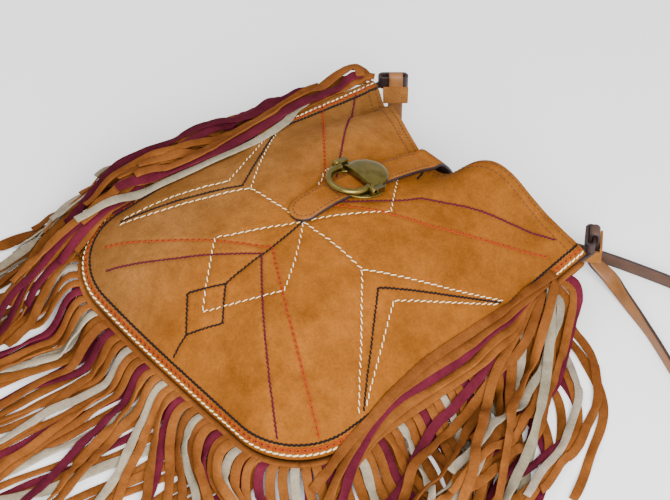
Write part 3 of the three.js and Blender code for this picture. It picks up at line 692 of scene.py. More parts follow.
def shell(name, number, outer, inner, tints, materials, flip, rim):
    """A wall between two surfaces on one grid, with a rounded edge at the mouth."""
    heap = Heap()
    count = len(outer)
    points = [outer, inner]
    faces = grid_faces(number, flip)
    slots = [0] * len(faces)
    under = grid_faces(number + count, not flip)
    faces += under
    slots += [1] * len(under)
    total = 2 * count
    for line, beside in ((number[:, -1], None), (number[0], number[1]), (number[-1], number[-2])):
        top = outer[line]
        middle = (top + inner[line]) / 2
        rows = [line]
        if beside is not None:
            away = top - outer[beside]
            away /= np.maximum(np.linalg.norm(away, axis=1), 1e-6)[:, None]
            for turn in (0.25 * math.pi, 0.5 * math.pi, 0.75 * math.pi):
                arc = middle + (top - middle) * math.cos(turn) + away * rim * math.sin(turn)
                points.append(arc)
                rows.append(np.arange(total, total + len(arc)))
                total += len(arc)
        rows.append(line + count)
        extra = grid_faces(np.array(rows), flip)
        faces += extra
        slots += [0] * len(extra)
    tints = np.concatenate([tints, tints, np.ones((total - 2 * count, 3)) * 0.95])
    heap.add(np.concatenate(points), faces, slots, tints)
    return heap.make(name, materials)


PANEL_MATERIALS = [TAN, TAN_INSIDE]
FRONT_RIM = 1.2
BACK_RIM = 1.0
BACK_COLUMNS = 160
BACK_RINGS = 40
front_inner = front_points - front_normals * WALL
front = shell("front", front_number, front_outer, front_inner, front_tint, PANEL_MATERIALS, False, FRONT_RIM)
fix_faces(front)
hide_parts("front_panel")

back_grid = back_point(*grid_of(np.linspace(0, 1, BACK_COLUMNS + 1), np.linspace(0, 1, BACK_RINGS + 1)))
back_points, back_number = weld(back_grid)
back_normals = normals_of(back_points, grid_faces(back_number))
back_normals[back_normals[:, 2] < 0] *= -1
back_inner = back_points + back_normals * WALL
back_tint = np.full((len(back_points), 3), 0.97)
back = shell("back", back_number, back_points, back_inner, back_tint, PANEL_MATERIALS, True, BACK_RIM)
fix_faces(back)
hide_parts("back_panel")

# Stitches: rings of a stitch by share of its length, width and height
STITCH_RINGS = ((0.0, 0.5, -0.35), (0.16, 0.85, 0.1), (0.5, 1.0, 0.32), (0.84, 0.85, 0.1), (1.0, 0.5, -0.35))
STITCH_SIDES = 6
STITCH_ANGLES = [2 * math.pi * c / STITCH_SIDES for c in range(STITCH_SIDES)]


def stitches(heap, tree, line, pitch, length, width, slant=0.0, aside=0.0, lift=0.0):
    """A row of thread stitches along a line on a surface."""
    places, ups = on_surface(tree, line)
    run = run_along(places)
    count = max(1, int(round(run[-1] / pitch)))
    faces = tube_faces(len(STITCH_RINGS), STITCH_SIDES)
    for k in range(count):
        at = (k + 0.5) * run[-1] / count
        up = unit(read_at(at, run, ups))
        ahead = read_at(at + 1, run, places) - read_at(at - 1, run, places)
        ahead -= up * (ahead @ up)
        ahead /= max(np.linalg.norm(ahead), 1e-9)
        side = np.cross(up, ahead)
        centre = read_at(at, run, places) + side * aside + up * lift
        turn = math.radians(slant + chance.normal() * 2.5)
        along = ahead * math.cos(turn) + side * math.sin(turn)
        across = side * math.cos(turn) - ahead * math.sin(turn)
        long = length * (1 + chance.normal() * 0.04)
        points = []
        for t, wide, high in STITCH_RINGS:
            middle = centre + along * (t - 0.5) * long + up * high * width
            for angle in STITCH_ANGLES:
                spoke = across * math.cos(angle) + up * 0.8 * math.sin(angle)
                points.append(middle + spoke * wide * width / 2)
        heap.add(points, faces)


thread_heaps = {name: Heap() for name in THREADS}


def sew(name, line, **size):
    stitches(thread_heaps[name], front_tree, line, **size)


for line in pattern_lines["white"]:
    sew("white", line, pitch=4.7, length=4.4, width=0.7, slant=16)
for line in pattern_lines["black"]:
    sew("black", line, pitch=2.9, length=3.6, width=1.35, slant=16)
for line in pattern_lines["burgundy"]:
    sew("burgundy", line, pitch=3.0, length=3.6, width=1.3, slant=15)
for line in pattern_lines["orange"]:
    for aside in (0.42, -0.42):
        sew("orange", line, pitch=4.2, length=4.5, width=1.0, slant=9, aside=aside)
    sew("burgundy", line, pitch=4.2, length=1.1, width=0.75, lift=0.45)
sew("black", margin_lines["black"], pitch=3.0, length=3.8, width=1.6, slant=14)
for aside in (-0.85, 0.0, 0.85):
    sew("orange", margin_lines["orange"], pitch=4.4, length=4.7, width=1.3, slant=7, aside=aside)
sew("black", margin_lines["orange"], pitch=4.4, length=1.2, width=0.9, lift=0.62)
sew("white", margin_lines["white"], pitch=4.1, length=4.1, width=1.2, slant=14)
for line in hem_lines:
    sew("brown", line, pitch=3.4, length=2.7, width=0.75, slant=4)


# The fringe: strips laid one after another over what already lies there
STRIP_WIDTH = 5.7
STRIP_THICK = 1.3
STRIP_LENGTH = 198.0
STRIP_PITCH = 6.0
STRIP_STEP = 0.7
STRIP_RINGS = 64
STRIP_CLEAR = 0.1
ROOT_INSIDE = 1.5
STEEPEST = 0.8
EDGE_BRIGHT = 0.22
CELL = 0.8
FIELD_LOW = np.array([-212.0, -345.0])
FIELD_SIZE = (620, 680)
COLOUR_ORDER = ("burgundy", "tan", "tan", "bone", "tan", "tan")
LAYER = {"burgundy": -0.5, "tan": -0.2, "bone": -0.9}
# Painted shade of each zone of the fringe: the left strips darkest, the right ones a little darker than the
# bottom
ZONE_SHADE = {"left": 0.84, "bottom": 1.0, "right": 0.95}
field = np.zeros(FIELD_SIZE)


def cells(x, y):
    i = np.clip(np.round((x - FIELD_LOW[0]) / CELL).astype(int), 0, FIELD_SIZE[0] - 1)
    j = np.clip(np.round((y - FIELD_LOW[1]) / CELL).astype(int), 0, FIELD_SIZE[1] - 1)
    return i, j


def heap_up(points):
    """Raises the field to the points that lie above it."""
    i, j = cells(points[..., 0].ravel(), points[..., 1].ravel())
    np.maximum.at(field, (i, j), points[..., 2].ravel())


heap_up(front_point(*grid_of(np.linspace(0, 1, 1500), np.linspace(0, 1, 420))))
q_head, out_head = grid_of(np.linspace(0.01, 0.99, 1800), np.linspace(0, HEAD_OUT, 8))
head_x, head_y, head_z, head_out_x, head_out_y, _ = seam_at(q_head)
head_x = head_x + head_out_x * out_head
head_y = head_y + head_out_y * out_head
heap_up(np.stack([head_x, head_y, head_z + HEAD_HALF], -1))

# The lie of the left fringe: a shelf at the seam's height, then a fall to the floor
SHELF = [(-80, 28), (-20, 28), (30, 22), (100, 16), (150, 16)]
LEFT_LOWER = [(-80, 15), (0, 15), (60, 16), (110, 13), (150, 12)]
FALL_STEPS = 400
fall_t = np.linspace(0, 1, FALL_STEPS)
fall_steps = np.sqrt(np.maximum(0, 1 - (6 * fall_t * (1 - fall_t) / FALL) ** 2))
fall_out = np.concatenate([[0], np.cumsum(fall_steps[:-1])]) / (FALL_STEPS - 1)


def skirt(y, run):
    """Where the left fringe lies at a distance from the seam."""
    sx, _, sz, _, _, _ = seam_at(left_share(y))
    span = FALL * sz
    shelf = lookup(SHELF, y)
    t = np.clip((run - shelf) / span, 0, 1)
    falling = span * np.interp(t, fall_t, fall_out)
    out = np.minimum(run, shelf) + falling + np.maximum(0, run - shelf - span)
    past = ease((CORNER_Y + 14 - y) / 74)
    height = sz * (1 - ease(t)) * (1 - past)
    return np.stack([sx - (out + (run - out) * past), y, height], -1)


y_fine, run_fine = grid_of(np.linspace(-190, 132, 900), np.linspace(3, 110, 560))
left_skirt = skirt(y_fine, run_fine)
left_skirt[..., 2] = np.maximum(0, left_skirt[..., 2] - lookup(LEFT_LOWER, y_fine))
heap_up(left_skirt)


def spread_over(height, run, radius):
    apart = (run[:, None] - run[None, :]) ** 2 / (2 * radius)
    return (height[None, :] - apart).max(1)


def lie(support, run, bend, landing):
    """The height of a limp strip over its support: it leaves and lands with limited bends."""
    over = spread_over(spread_over(support, run, bend), run, landing)
    return -spread_over(-over, run, landing)


# A strip's section by shares of its half width and thickness, and which of its points are cut edges
PROFILE = np.array(
    [(-1, -0.2), (-1, 0.25), (-0.86, 0.5), (0.86, 0.5), (1, 0.25), (1, -0.2), (0.86, -0.5), (-0.86, -0.5)]
)
EDGE_POINTS = np.array([1, 1, 0, 0, 1, 1, 0, 0], float)


def drape(path, held, width, bend, landing, roll, least):
    """The middle line, the side direction in plan and the tilt of a strip on the field."""
    run = np.arange(len(path)) * STRIP_STEP
    way = unit(np.gradient(path, axis=0))
    aside = np.stack([-way[:, 1], way[:, 0]], -1)
    edges = []
    for sign in (1, -1):
        support = np.zeros(len(run))
        for share in (0.1, 0.5, 0.85):
            spot = path + sign * aside * share * width / 2
            support = np.maximum(support, field[cells(spot[:, 0], spot[:, 1])])
        support[: len(held)] = held
        rolled = width * np.clip(np.sin(sign * roll), 0, None)
        edges.append(lie(np.maximum(support, least), run, bend, landing) + rolled)
    left, right = edges
    left = np.maximum(left, right - STEEPEST * width)
    right = np.maximum(right, left - STEEPEST * width)
    z = (left + right) / 2 + STRIP_THICK / 2 + STRIP_CLEAR
    tilt = np.arcsin(np.clip((left - right) / width, -0.95, 0.95))
    return np.concatenate([path, z[:, None]], 1), aside, tilt


def tilted(aside, tilt):
    return np.stack([aside[:, 0] * np.cos(tilt), aside[:, 1] * np.cos(tilt), np.sin(tilt)], -1)


def lay_strip(heap, path, held, length, width, bend, landing, roll, tint, least=0.0):
    """One strip: a plan path draped over the field, then added to the field."""
    centre, aside, tilt = drape(path, held, width, bend, landing, roll, least)
    gone = run_along(centre)
    at = np.linspace(0, min(length, gone[-1]), STRIP_RINGS)
    spot = read_at(at, gone, centre)
    ahead = np.gradient(spot, axis=0)
    side = tilted(read_at(at, gone, aside), np.interp(at, gone, tilt))
    side = unit(side - ahead * ((side * ahead).sum(1) / (ahead**2).sum(1))[:, None])
    up = unit(np.cross(ahead, side))
    half = width / 2 * np.where(at > at[-1] - 4, 0.92, 1.0)
    rings = band_rings(spot, side, up, half, STRIP_THICK, PROFILE)
    tints = tint * (1 + EDGE_BRIGHT * EDGE_POINTS[None, :, None]) * np.ones((len(at), 1, 3))
    heap.add(rings.reshape(-1, 3), tube_faces(len(at), len(PROFILE)), 0, tints.reshape(-1, 3))
    keep = gone <= length
    across = np.linspace(-1, 1, 9)[None, :, None] * width / 2
    body = centre[keep][:, None, :] + tilted(aside, tilt)[keep][:, None, :] * across
    body[..., 2] += STRIP_THICK / 2
    heap_up(body[max(len(held), 1) :])


fringe_heaps = {(zone, colour): Heap() for zone in ZONE_SHADE for colour in LAYER}
RUN = np.arange(int(250 / STRIP_STEP)) * STRIP_STEP


def strip_look(zone):
    """The tint of one strip: its zone's painted shade, times a tone of its own that differs at random."""
    tone = ZONE_SHADE[zone] * (1 + 0.08 * chance.normal())
    return np.array([tone, tone * (1 + 0.015 * chance.normal()), tone * (1 + 0.03 * chance.normal())])


def rolling(run, size, start):
    """A slow roll of a strip about its own line, which sets in after a start."""
    long = 60 + 60 * chance.random()
    size = size * chance.normal()
    turn = 2 * math.pi * (run / long + chance.random())
    return size * np.sin(turn) * ease((run - start) / 30)


def root_at(place):
    """Where a strip leaves the seam: x, y, z, outward direction and its heading in degrees."""
    x, y, z, out_x, out_y, _ = [float(v) for v in seam_at(0.5 + place / OUTLINE)]
    return x, y, z, np.array([out_x, out_y]), math.degrees(math.atan2(out_y, out_x))


def root_strip(place, colour, zone, rows, length, bend=7.0, roll_size=0.25, rise=0.0, drop=0.0, flat=7.0):
    """A strip that leaves the seam and follows rows of distance and heading in degrees."""
    x, y, z, out, _ = root_at(place)
    flat = int((flat + chance.random() * 1.6) / STRIP_STEP)
    held = z + LAYER[colour] - STRIP_THICK / 2 - drop + rise * ease(np.arange(flat) / flat)
    angles = np.radians(lookup(rows, RUN))
    wave = 40 + 50 * chance.random()
    angles = angles + 0.1 * np.sin(2 * math.pi * (RUN / wave + chance.random())) * ease((RUN - 25) / 40)
    steps = np.stack([np.cos(angles), np.sin(angles)], -1)[:-1] * STRIP_STEP
    path = np.array([x, y]) - out * ROOT_INSIDE + np.concatenate([[(0, 0)], np.cumsum(steps, 0)])
    width = STRIP_WIDTH * (1 + 0.06 * chance.normal())
    bend = bend * (0.85 + 0.4 * chance.random())
    roll = rolling(RUN, roll_size, 12)
    lay_strip(fringe_heaps[zone, colour], path, held, length, width, bend, 6.0, roll, strip_look(zone))


def free_strip(points, colour, zone, length, width, bend=12.0, roll_size=0.12):
    """A strip that follows plan points over the others, with a least height where a third column gives it."""
    points = np.asarray(points, float)
    path = smooth_line(points[:, :2], STRIP_STEP)
    run = np.arange(len(path)) * STRIP_STEP
    least = np.zeros(len(path))
    if points.shape[1] > 2:
        knots = run_along(points[:, :2])
        least = np.interp(run * knots[-1] / run[-1], knots, points[:, 2])
    roll = rolling(run, roll_size, 4)
    heap = fringe_heaps[zone, colour]
    lay_strip(heap, path, np.zeros(0), length, width, bend, 10.0, roll, strip_look(zone), least)


FIRST_ROOT = 20.0
MOUTH_GAP = 14
LOWER_SHIFT = 9


def colour_of(place):
    return COLOUR_ORDER[int(round((place - FIRST_ROOT) / STRIP_PITCH)) % len(COLOUR_ORDER)]


def by_turns(places):
    """Places with their numbers, every fourth one first, so that neighbours lie over each other by turns."""
    return sorted(enumerate(places), key=lambda pair: (0, 2, 1, 3)[pair[0] % 4])


def some_length():
    return STRIP_LENGTH * (0.95 + 0.07 * chance.random())


roots = np.arange(FIRST_ROOT - 60 * STRIP_PITCH, OUTLINE / 2 - MOUTH_GAP, STRIP_PITCH)
roots = roots[roots > -OUTLINE / 2 + MOUTH_GAP]
corner_mid = HALF_BOTTOM + 0.55 * ARC_LENGTH
bottom_roots = [place for place in roots if abs(place) <= corner_mid]
right_roots = [place for place in roots if place > corner_mid]
left_roots = [place for place in roots if place < -corner_mid][::-1]

# Strips of the lower layer at the bottom, which go straight down
for place in np.arange(-96.0, 100.0, 8.2):
    ending = -100 - 12 * chance.random()
    rows = [(0, -90), (10, -90), (60, -95 + 4 * chance.normal()), (150, ending), (260, ending)]
    colour = colour_of(place + LOWER_SHIFT)
    length = some_length() - 12
    root_strip(place, colour, "bottom", rows, length, bend=1.6, roll_size=0.2, drop=2.6, flat=6.0)

# Headings of the upper layer by the root's x: degrees where a strip lands and at its end
BOTTOM_HEADINGS = [
    (-120, -112, -100),
    (-90, -106, -98),
    (-50, -96, -90),
    (-10, -72, -75),
    (20, -46, -68),
    (34, -33, -66),
    (54, -27, -64),
    (74, -12, -62),
    (94, -4, -60),
    (120, -20, -60),
]
landing_rows = [(row[0], row[1]) for row in BOTTOM_HEADINGS]
ending_rows = [(row[0], row[2]) for row in BOTTOM_HEADINGS]
for place in sorted(bottom_roots, key=lambda p: (int(round(p / STRIP_PITCH)) * 5) % 7):
    x, _, _, _, out = root_at(place)
    landing = float(lookup(landing_rows, x)) + 5 * chance.normal()
    ending = float(lookup(ending_rows, x)) + 5 * chance.normal()
    rows = [(0, out), (8, out), (30, landing), (70, landing), (150, ending), (260, ending)]
    root_strip(place, colour_of(place), "bottom", rows, some_length(), bend=6.0, roll_size=0.35, rise=0.8)

# Strips of the lower layer on the right
for place in np.arange(corner_mid + 5, OUTLINE / 2 - 30, 8.6):
    out = root_at(place)[4]
    early = out - 28 + 6 * chance.normal()
    rows = [(0, out), (10, out), (45, early), (120, -70 + 6 * chance.normal()), (260, -84)]
    colour = colour_of(place + LOWER_SHIFT)
    length = some_length() - 14
    root_strip(place, colour, "right", rows, length, bend=2.4, roll_size=0.2, drop=2.6, flat=6.0)

# Right side: a layer that leaves outwards and bends down on the floor
for _, place in by_turns(right_roots):
    _, y, _, _, out = root_at(place)
    landing = -17 - 30 * float(ease((y + 30) / 120)) + 6 * chance.normal()
    ending = -74 + 5 * chance.normal()
    rows = [(0, out), (7, out), (20, landing), (52, landing - 6), (120, ending), (260, -84)]
    root_strip(place, colour_of(place), "right", rows, some_length(), bend=6.0, roll_size=0.35, rise=0.4)

# Strips of the right side that fall across the others: colour and plan points
OVER_WIDTH = 1.1 * STRIP_WIDTH
RIGHT_OVER = [
    ("tan", [
        (109, 62), (122, 46), (137, 20), (145, 0), (154, -17), (165, -34),
        (170, -52), (174, -90), (178, -130),
    ]),
    ("burgundy", [
        (110, 52), (120, 42), (127, 26), (132, -1), (134, -17), (137, -31), (144, -46),
        (153, -66), (162, -100), (166, -135),
    ]),
    ("bone", [
        (108, 106), (130, 84), (160, 48), (180, 18), (195, -12), (203, -30), (210, -60),
    ]),
    ("tan", [
        (107, 112), (124, 86), (138, 60), (147, 43), (154, 30), (164, 15), (177, 0), (194, -22), (205, -40),
        (212, -64),
    ]),
    ("tan", [
        (108, 98), (119, 80), (127, 63), (130, 46), (133, 31), (137, 13), (140, -6), (143, -30), (149, -52),
        (158, -66), (167, -82), (172, -105),
    ]),
    ("tan", [
        (108, 90), (113, 78), (119, 65), (125, 50), (130, 38), (137, 25), (146, 12), (155, 1), (164, -10),
        (174, -25), (190, -44), (203, -72),
    ]),
    ("tan", [
        (108, 84), (114, 72), (119, 60), (122, 46), (122, 30), (121, 9), (121, -15), (121, -37), (122, -54),
        (127, -76), (136, -100), (142, -125),
    ]),
    ("tan", [
        (108, 88), (112, 76), (116, 62), (118, 48), (118, 30), (117, 9), (117, -15), (118, -37), (121, -58),
        (127, -80), (133, -98), (139, -122),
    ]),
    ("burgundy", [
        (107, 94), (110, 82), (113, 65), (113, 38), (114, 13), (114, -9), (114, -31), (116, -47), (119, -59),
        (123, -69), (128, -79), (135, -91), (143, -104), (150, -122),
    ]),
    ("tan", [
        (106, 104), (109, 92), (111, 77), (111, 44), (111, 13), (111, -10), (112, -32), (115, -50),
        (118, -65), (122, -76), (127, -87), (132, -98), (138, -112), (142, -130),
    ]),
    ("tan", [
        (105, 112), (106, 98), (107, 83), (107, 62), (106.5, 39), (107, 14), (108.5, -9), (111, -29),
        (114, -45), (116.5, -57), (118.5, -73), (121, -87), (123, -97), (125, -110), (128, -128),
    ]),
]
for colour, points in RIGHT_OVER:
    free_strip(points, colour, "right", STRIP_LENGTH + 30, OVER_WIDTH)

# Left side: a lower layer that falls to the floor, then strips in lanes down the shelf
LANE_NEAR = 5
LANE_SPREAD = 26
for place in left_roots[1::2]:
    out = root_at(place)[4] % 360
    early = 18 + 16 * chance.random()
    final = 266 + 5 * chance.normal()
    turned = out + 38 + 8 * chance.normal()
    rows = [(0, out), (6, out), (early, turned), (early + 40, final - 14), (140, final), (260, final)]
    root_strip(place, colour_of(place), "left", rows, some_length(), drop=1.2, flat=5.0)
for k, place in by_turns(left_roots[::2]):
    out = root_at(place)[4] % 360
    lane = LANE_NEAR + LANE_SPREAD * 2 * k / len(left_roots)
    turn = 1.57 * lane
    final = 269 + 2 * chance.normal()
    rows = [(0, out), (6, out), (6 + turn, final), (150, final + 6), (260, final + 10)]
    root_strip(place, colour_of(place), "left", rows, some_length(), bend=9.0, roll_size=0.12)

# Strips in a bundle along the left seam: colour, width, and rows of y, distance outwards and least height
WIDE_STRIP = 1.4 * STRIP_WIDTH
LEFT_BUNDLE = [
    ("tan", OVER_WIDTH, [
        (134, 0, 49), (138, 8, 50), (137, 14, 50), (131, 18, 50), (122, 19, 50), (106, 19, 49), (82, 15, 0),
        (59, 12, 0), (36, 10, 0), (12, 10, 0), (-14, 14, 0), (-33, 18, 0), (-60, 21, 0),
    ]),
    ("tan", OVER_WIDTH, [
        (130, 0, 49), (135, 7, 51), (133, 12, 51), (126, 14, 51), (115, 13, 51), (102, 11, 0), (78, 7, 0),
        (54, 4, 0), (32, 1, 0), (8, 2, 0), (-19, 5, 0), (-36, 11, 0), (-60, 14, 0),
    ]),
    ("burgundy", OVER_WIDTH, [
        (104, 20, 52), (96, 22, 54), (85, 20, 55), (68, 20, 55), (48, 19, 55), (29, 21, 55),
        (10, 24, 56), (-8, 27, 57), (-23, 29, 58), (-40, 32, 55), (-60, 33, 42), (-90, 32, 0),
    ]),
    ("tan", OVER_WIDTH, [
        (112, 19, 53), (104, 19, 54), (89, 16, 55), (70, 13, 0), (51, 9, 0), (33, 7, 0),
        (13, 8, 0), (-14, 12, 0), (-31, 17, 0), (-49, 20, 0), (-80, 22, 0),
    ]),
    ("tan", OVER_WIDTH, [
        (138, 0, 52), (144, 8, 54), (144, 15, 55), (140, 20, 55), (133, 20, 55), (126, 19, 55), (104, 13, 55),
        (78, 8, 0), (55, 4, 0), (32, 1, 0), (8, 1, 0), (-18, 6, 0), (-36, 11, 0), (-60, 14, 0),
    ]),
    ("tan", OVER_WIDTH, [
        (144, -1, 53), (141, 2, 54), (131, 2, 54), (116, 2, 53), (98, 0, 0), (75, -4, 0), (50, -9, 0),
        (25, -12, 0), (5, -11, 0), (-15, -7, 0), (-40, 0, 0), (-60, 5, 0),
    ]),
    ("bone", OVER_WIDTH, [
        (84, -1, 0), (70, -6, 0), (58, -14, 0), (48, -18, 0), (38, -21, 0), (21, -23, 0),
        (5, -22, 0), (-13, -17, 0), (-32, -11, 0), (-48, -5, 0), (-75, 0, 0), (-100, 3, 0),
    ]),
    ("burgundy", WIDE_STRIP, [
        (137, 3, 53), (132, 7, 54), (120, 6, 54), (106, 3, 0), (77, -2, 0), (49, -8, 0), (27, -12, 0),
        (10, -13, 0), (-5, -12, 0), (-17, -9, 0), (-40, -1, 0), (-62, 4, 0), (-80, 7, 0),
    ]),
    ("tan", OVER_WIDTH, [
        (134, 2, 54), (139, 11, 56), (138, 16, 56), (131, 18, 56), (111, 13, 56), (84, 6, 0), (60, 1, 0),
        (36, -4, 0), (10, -7, 0), (-14, -6, 0), (-41, 3, 0), (-65, 7, 0),
    ]),
]
for colour, width, rows in LEFT_BUNDLE:
    points = [(float(seam_at(left_share(y))[0]) - out, y, least) for y, out, least in rows]
    free_strip(points, colour, "left", STRIP_LENGTH + 14, width, bend=16.0, roll_size=0.1)

# Head bands that hold the strips in the seam: their section by distance outwards and height
HEAD_UPPER = [
    (-1.5, HEAD_HALF),
    (HEAD_OUT - 0.8, HEAD_HALF),
    (HEAD_OUT - 0.2, HEAD_HALF - 0.3),
    (HEAD_OUT, 0.55),
]
HEAD = np.array(HEAD_UPPER + [(HEAD_OUT - 0.3, 0.0)] + [(out, -up) for out, up in reversed(HEAD_UPPER)])


def head_band(heap, start, end):
    q = np.linspace(start, end, int(abs(end - start) * OUTLINE / 2.5) + 2)
    x, y, z, out_x, out_y, _ = [values[:, None] for values in seam_at(q)]
    out, up = HEAD.T
    rings = np.stack([x + out_x * out, y + out_y * out, z + up], -1)
    faces = [tuple(reversed(face)) for face in tube_faces(len(q), len(HEAD))]
    heap.add(rings.reshape(-1, 3), faces)


corner_q = corner_mid / OUTLINE
head_band(fringe_heaps["left", "tan"], 0.006, 0.5 - corner_q)
head_band(fringe_heaps["bottom", "tan"], 0.5 - corner_q, 0.5 + corner_q)
head_band(fringe_heaps["right", "tan"], 0.5 + corner_q, 0.994)
for (zone, colour), heap in fringe_heaps.items():
    piece = heap.make(f"strips_{zone}_{colour}", [STRIP_MATERIAL[colour]])
    fix_faces(piece)
    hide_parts(f"fringe_{zone}_{colour}")

# The closure tab
TAB_HALF = 10.0
TAB_THICK = 3.0
TAB_CLEAR = 1.4
TAB_TIP_Y = -14.0
TAB_FRONT_END = 94
TAB_SHIFT = -5.0
TAB_SHIFT_FROM = 95
TAB_SHIFT_OVER = 110
TAB_TIP_STEPS = np.array([0.15, 0.6, 1.2, 2, 3, 4.4, 6, 8])
TAB_TINT = (1.02, 1.04, 1.25)

# The tab's bend over the mouth and down behind the back panel: y and z
TAB_BACK = [
    (100, 74),
    (106, 68),
    (112, 58),
    (119, 44),
    (128, 28),
    (138, 16),
    (143, 10),
    (141.5, 5),
    (134, 2.1),
    (120, 1.7),
    (106, 1.7),
]

# The tab's section, with the material of the side after each point: suede, cut edge or underside
TAB_PROFILE = np.array(
    [
        (-1, -0.2),
        (-1, 0.3),
        (-0.96, 0.46),
        (-0.6, 0.5),
        (0, 0.5),
        (0.6, 0.5),
        (0.96, 0.46),
        (1, 0.3),
        (1, -0.2),
        (0.96, -0.45),
        (0, -0.5),
        (-0.96, -0.45),
    ]
)
TAB_SIDES = [1, 1, 0, 0, 0, 0, 1, 1, 1, 2, 2, 1]


def tab_z(y):
    folded = np.maximum(fold(-TAB_HALF, y), np.maximum(fold(0, y), fold(TAB_HALF, y)))
    return lookup(SPINE, y) + folded + TAB_CLEAR + TAB_THICK / 2


def tab_x(y):
    return TAB_SHIFT * ease((TAB_SHIFT_FROM - y) / TAB_SHIFT_OVER)


def tab_line():
    """The tab's middle line as rows of y and z, and its half width along it."""
    front_part = np.concatenate([TAB_TIP_Y + TAB_TIP_STEPS, np.linspace(-4, TAB_FRONT_END, 66)])
    rows = np.stack([front_part, tab_z(front_part)], -1)
    bent = smooth_line(np.concatenate([rows[-3:], np.array(TAB_BACK, float)]), 1.6)
    start = int(np.argmax(bent[:, 0] > TAB_FRONT_END + 0.5))
    rows = np.concatenate([rows, bent[start:]])
    tip = np.sqrt(np.maximum(TAB_HALF**2 - (TAB_TIP_Y + TAB_HALF - rows[:, 0]) ** 2, 0.01))
    half = np.where(np.arange(len(rows)) < len(TAB_TIP_STEPS), tip, TAB_HALF)
    return rows, half


tab_rows, tab_half = tab_line()
tab_spot = np.stack([tab_x(tab_rows[:, 0]), tab_rows[:, 0], tab_rows[:, 1]], -1)
tab_ahead = np.gradient(tab_spot, axis=0)
tab_ahead[:, 0] = 0
tab_side = np.broadcast_to(np.array([1.0, 0, 0]), tab_spot.shape)
tab_up = np.cross(tab_side, unit(tab_ahead))
tab_rings = band_rings(tab_spot, tab_side, tab_up, tab_half, TAB_THICK, TAB_PROFILE).reshape(-1, 3)
tab_faces = tube_faces(len(tab_rows), len(TAB_PROFILE))
tab_heap = Heap()
tab_heap.add(tab_rings, tab_faces, band_slots(TAB_SIDES, tab_faces), TAB_TINT)
tab = tab_heap.make("tab", [TAN, DARK_EDGE, UNDERSIDE])
fix_faces(tab)
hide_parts("closure_tab")

# Stitching of the tab: a line round its edge and a line across it
INSET = 2.4
CROSS_Y = 18.5
CROSS_POINTS = 12
tab_tree = BVHTree.FromPolygons(tab_rings.tolist(), tab_faces)
sewn_half = TAB_HALF - INSET
tip_y = TAB_TIP_Y + TAB_HALF
edge_y = np.linspace(tip_y, 92, 80)
tip_angle = np.linspace(math.pi, 2 * math.pi, 24)
tip_x = float(tab_x(tip_y)) + sewn_half * np.cos(tip_angle)
tip_line = np.stack([tip_x, tip_y + sewn_half * np.sin(tip_angle)], -1)
left_line = np.stack([tab_x(edge_y) - sewn_half, edge_y], -1)[::-1]
right_line = np.stack([tab_x(edge_y) + sewn_half, edge_y], -1)
loop = np.concatenate([left_line, tip_line[1:-1], right_line])
loop = np.concatenate([loop, (tab_z(loop[:, 1]) + TAB_THICK / 2)[:, None]], 1)
stitches(thread_heaps["brown"], tab_tree, loop, pitch=2.9, length=2.3, width=0.7)
cross_x = np.linspace(-sewn_half, sewn_half, CROSS_POINTS) + float(tab_x(CROSS_Y))
cross_z = float(tab_z(CROSS_Y)) + TAB_THICK / 2
cross = np.stack([cross_x, np.full(CROSS_POINTS, CROSS_Y), np.full(CROSS_POINTS, cross_z)], -1)
stitches(thread_heaps["brown"], tab_tree, cross, pitch=2.6, length=2.5, width=0.9)
for name, heap in thread_heaps.items():
    heap.make(f"stitches_{name}", [THREADS[name]])

# The clasp, built flat at its own origin and set on the tab
CLASP_X = 0.8
CLASP_Y = 40.0
HINGE_Y = -5.5
HINGE_Z = 3.4
RING_RADIUS = 13.5
RING_WIRE = 2.0
RING_CENTRE_Y = -10.2
RING_STEPS = 90
PIN_RADIUS = 1.2
PIN_STEPS = 8
PLATE_HALF_WIDTH = 20.5
PLATE_HALF_LENGTH = 17.5
PLATE_Y = -4.0
PLATE_THICK = 1.0
PLATE_STEPS = 120
EYE_RADIUS = 11.9
EYE_SLOT_HALF = 8.0
CAP_Y = 4.6
CAP_FRONT_Y = -3.2
CAP_EDGE = 0.35
BASE_Z = 0.2
LUG_INNER = 15.9
LUG_OUTER = 19.4
LUG_HALF = 2.2
LUG_BACK_Y = 3.0
LUG_TOP = 4.6
LUG_ROUND = 0.6
clasp_tilt = math.atan(float(tab_z(CLASP_Y + 1) - tab_z(CLASP_Y - 1)) / 2)
clasp_z = float(tab_z(CLASP_Y)) + TAB_THICK / 2 + TAB_CLEAR
CLASP_PLACE = np.array([float(tab_x(CLASP_Y)) + CLASP_X, CLASP_Y, clasp_z])


def set_on_tab(points):
    points = np.asarray(points, float)
    c = math.cos(clasp_tilt)
    s = math.sin(clasp_tilt)
    y = points[:, 1] * c - points[:, 2] * s
    z = points[:, 1] * s + points[:, 2] * c
    return np.stack([points[:, 0], y, z], -1) + CLASP_PLACE


def wire(line, radius, sides):
    """A round wire along a level line."""
    ahead = unit(np.gradient(line, axis=0))
    side = unit(np.cross(ahead, np.array([0, 0, 1.0])))
    up = np.cross(side, ahead)
    angle = (2 * math.pi * np.arange(sides) / sides)[None, :, None]
    rings = line[:, None, :] + radius * (side[:, None, :] * np.cos(angle) + up[:, None, :] * np.sin(angle))
    return rings.reshape(-1, 3), tube_faces(len(line), sides)


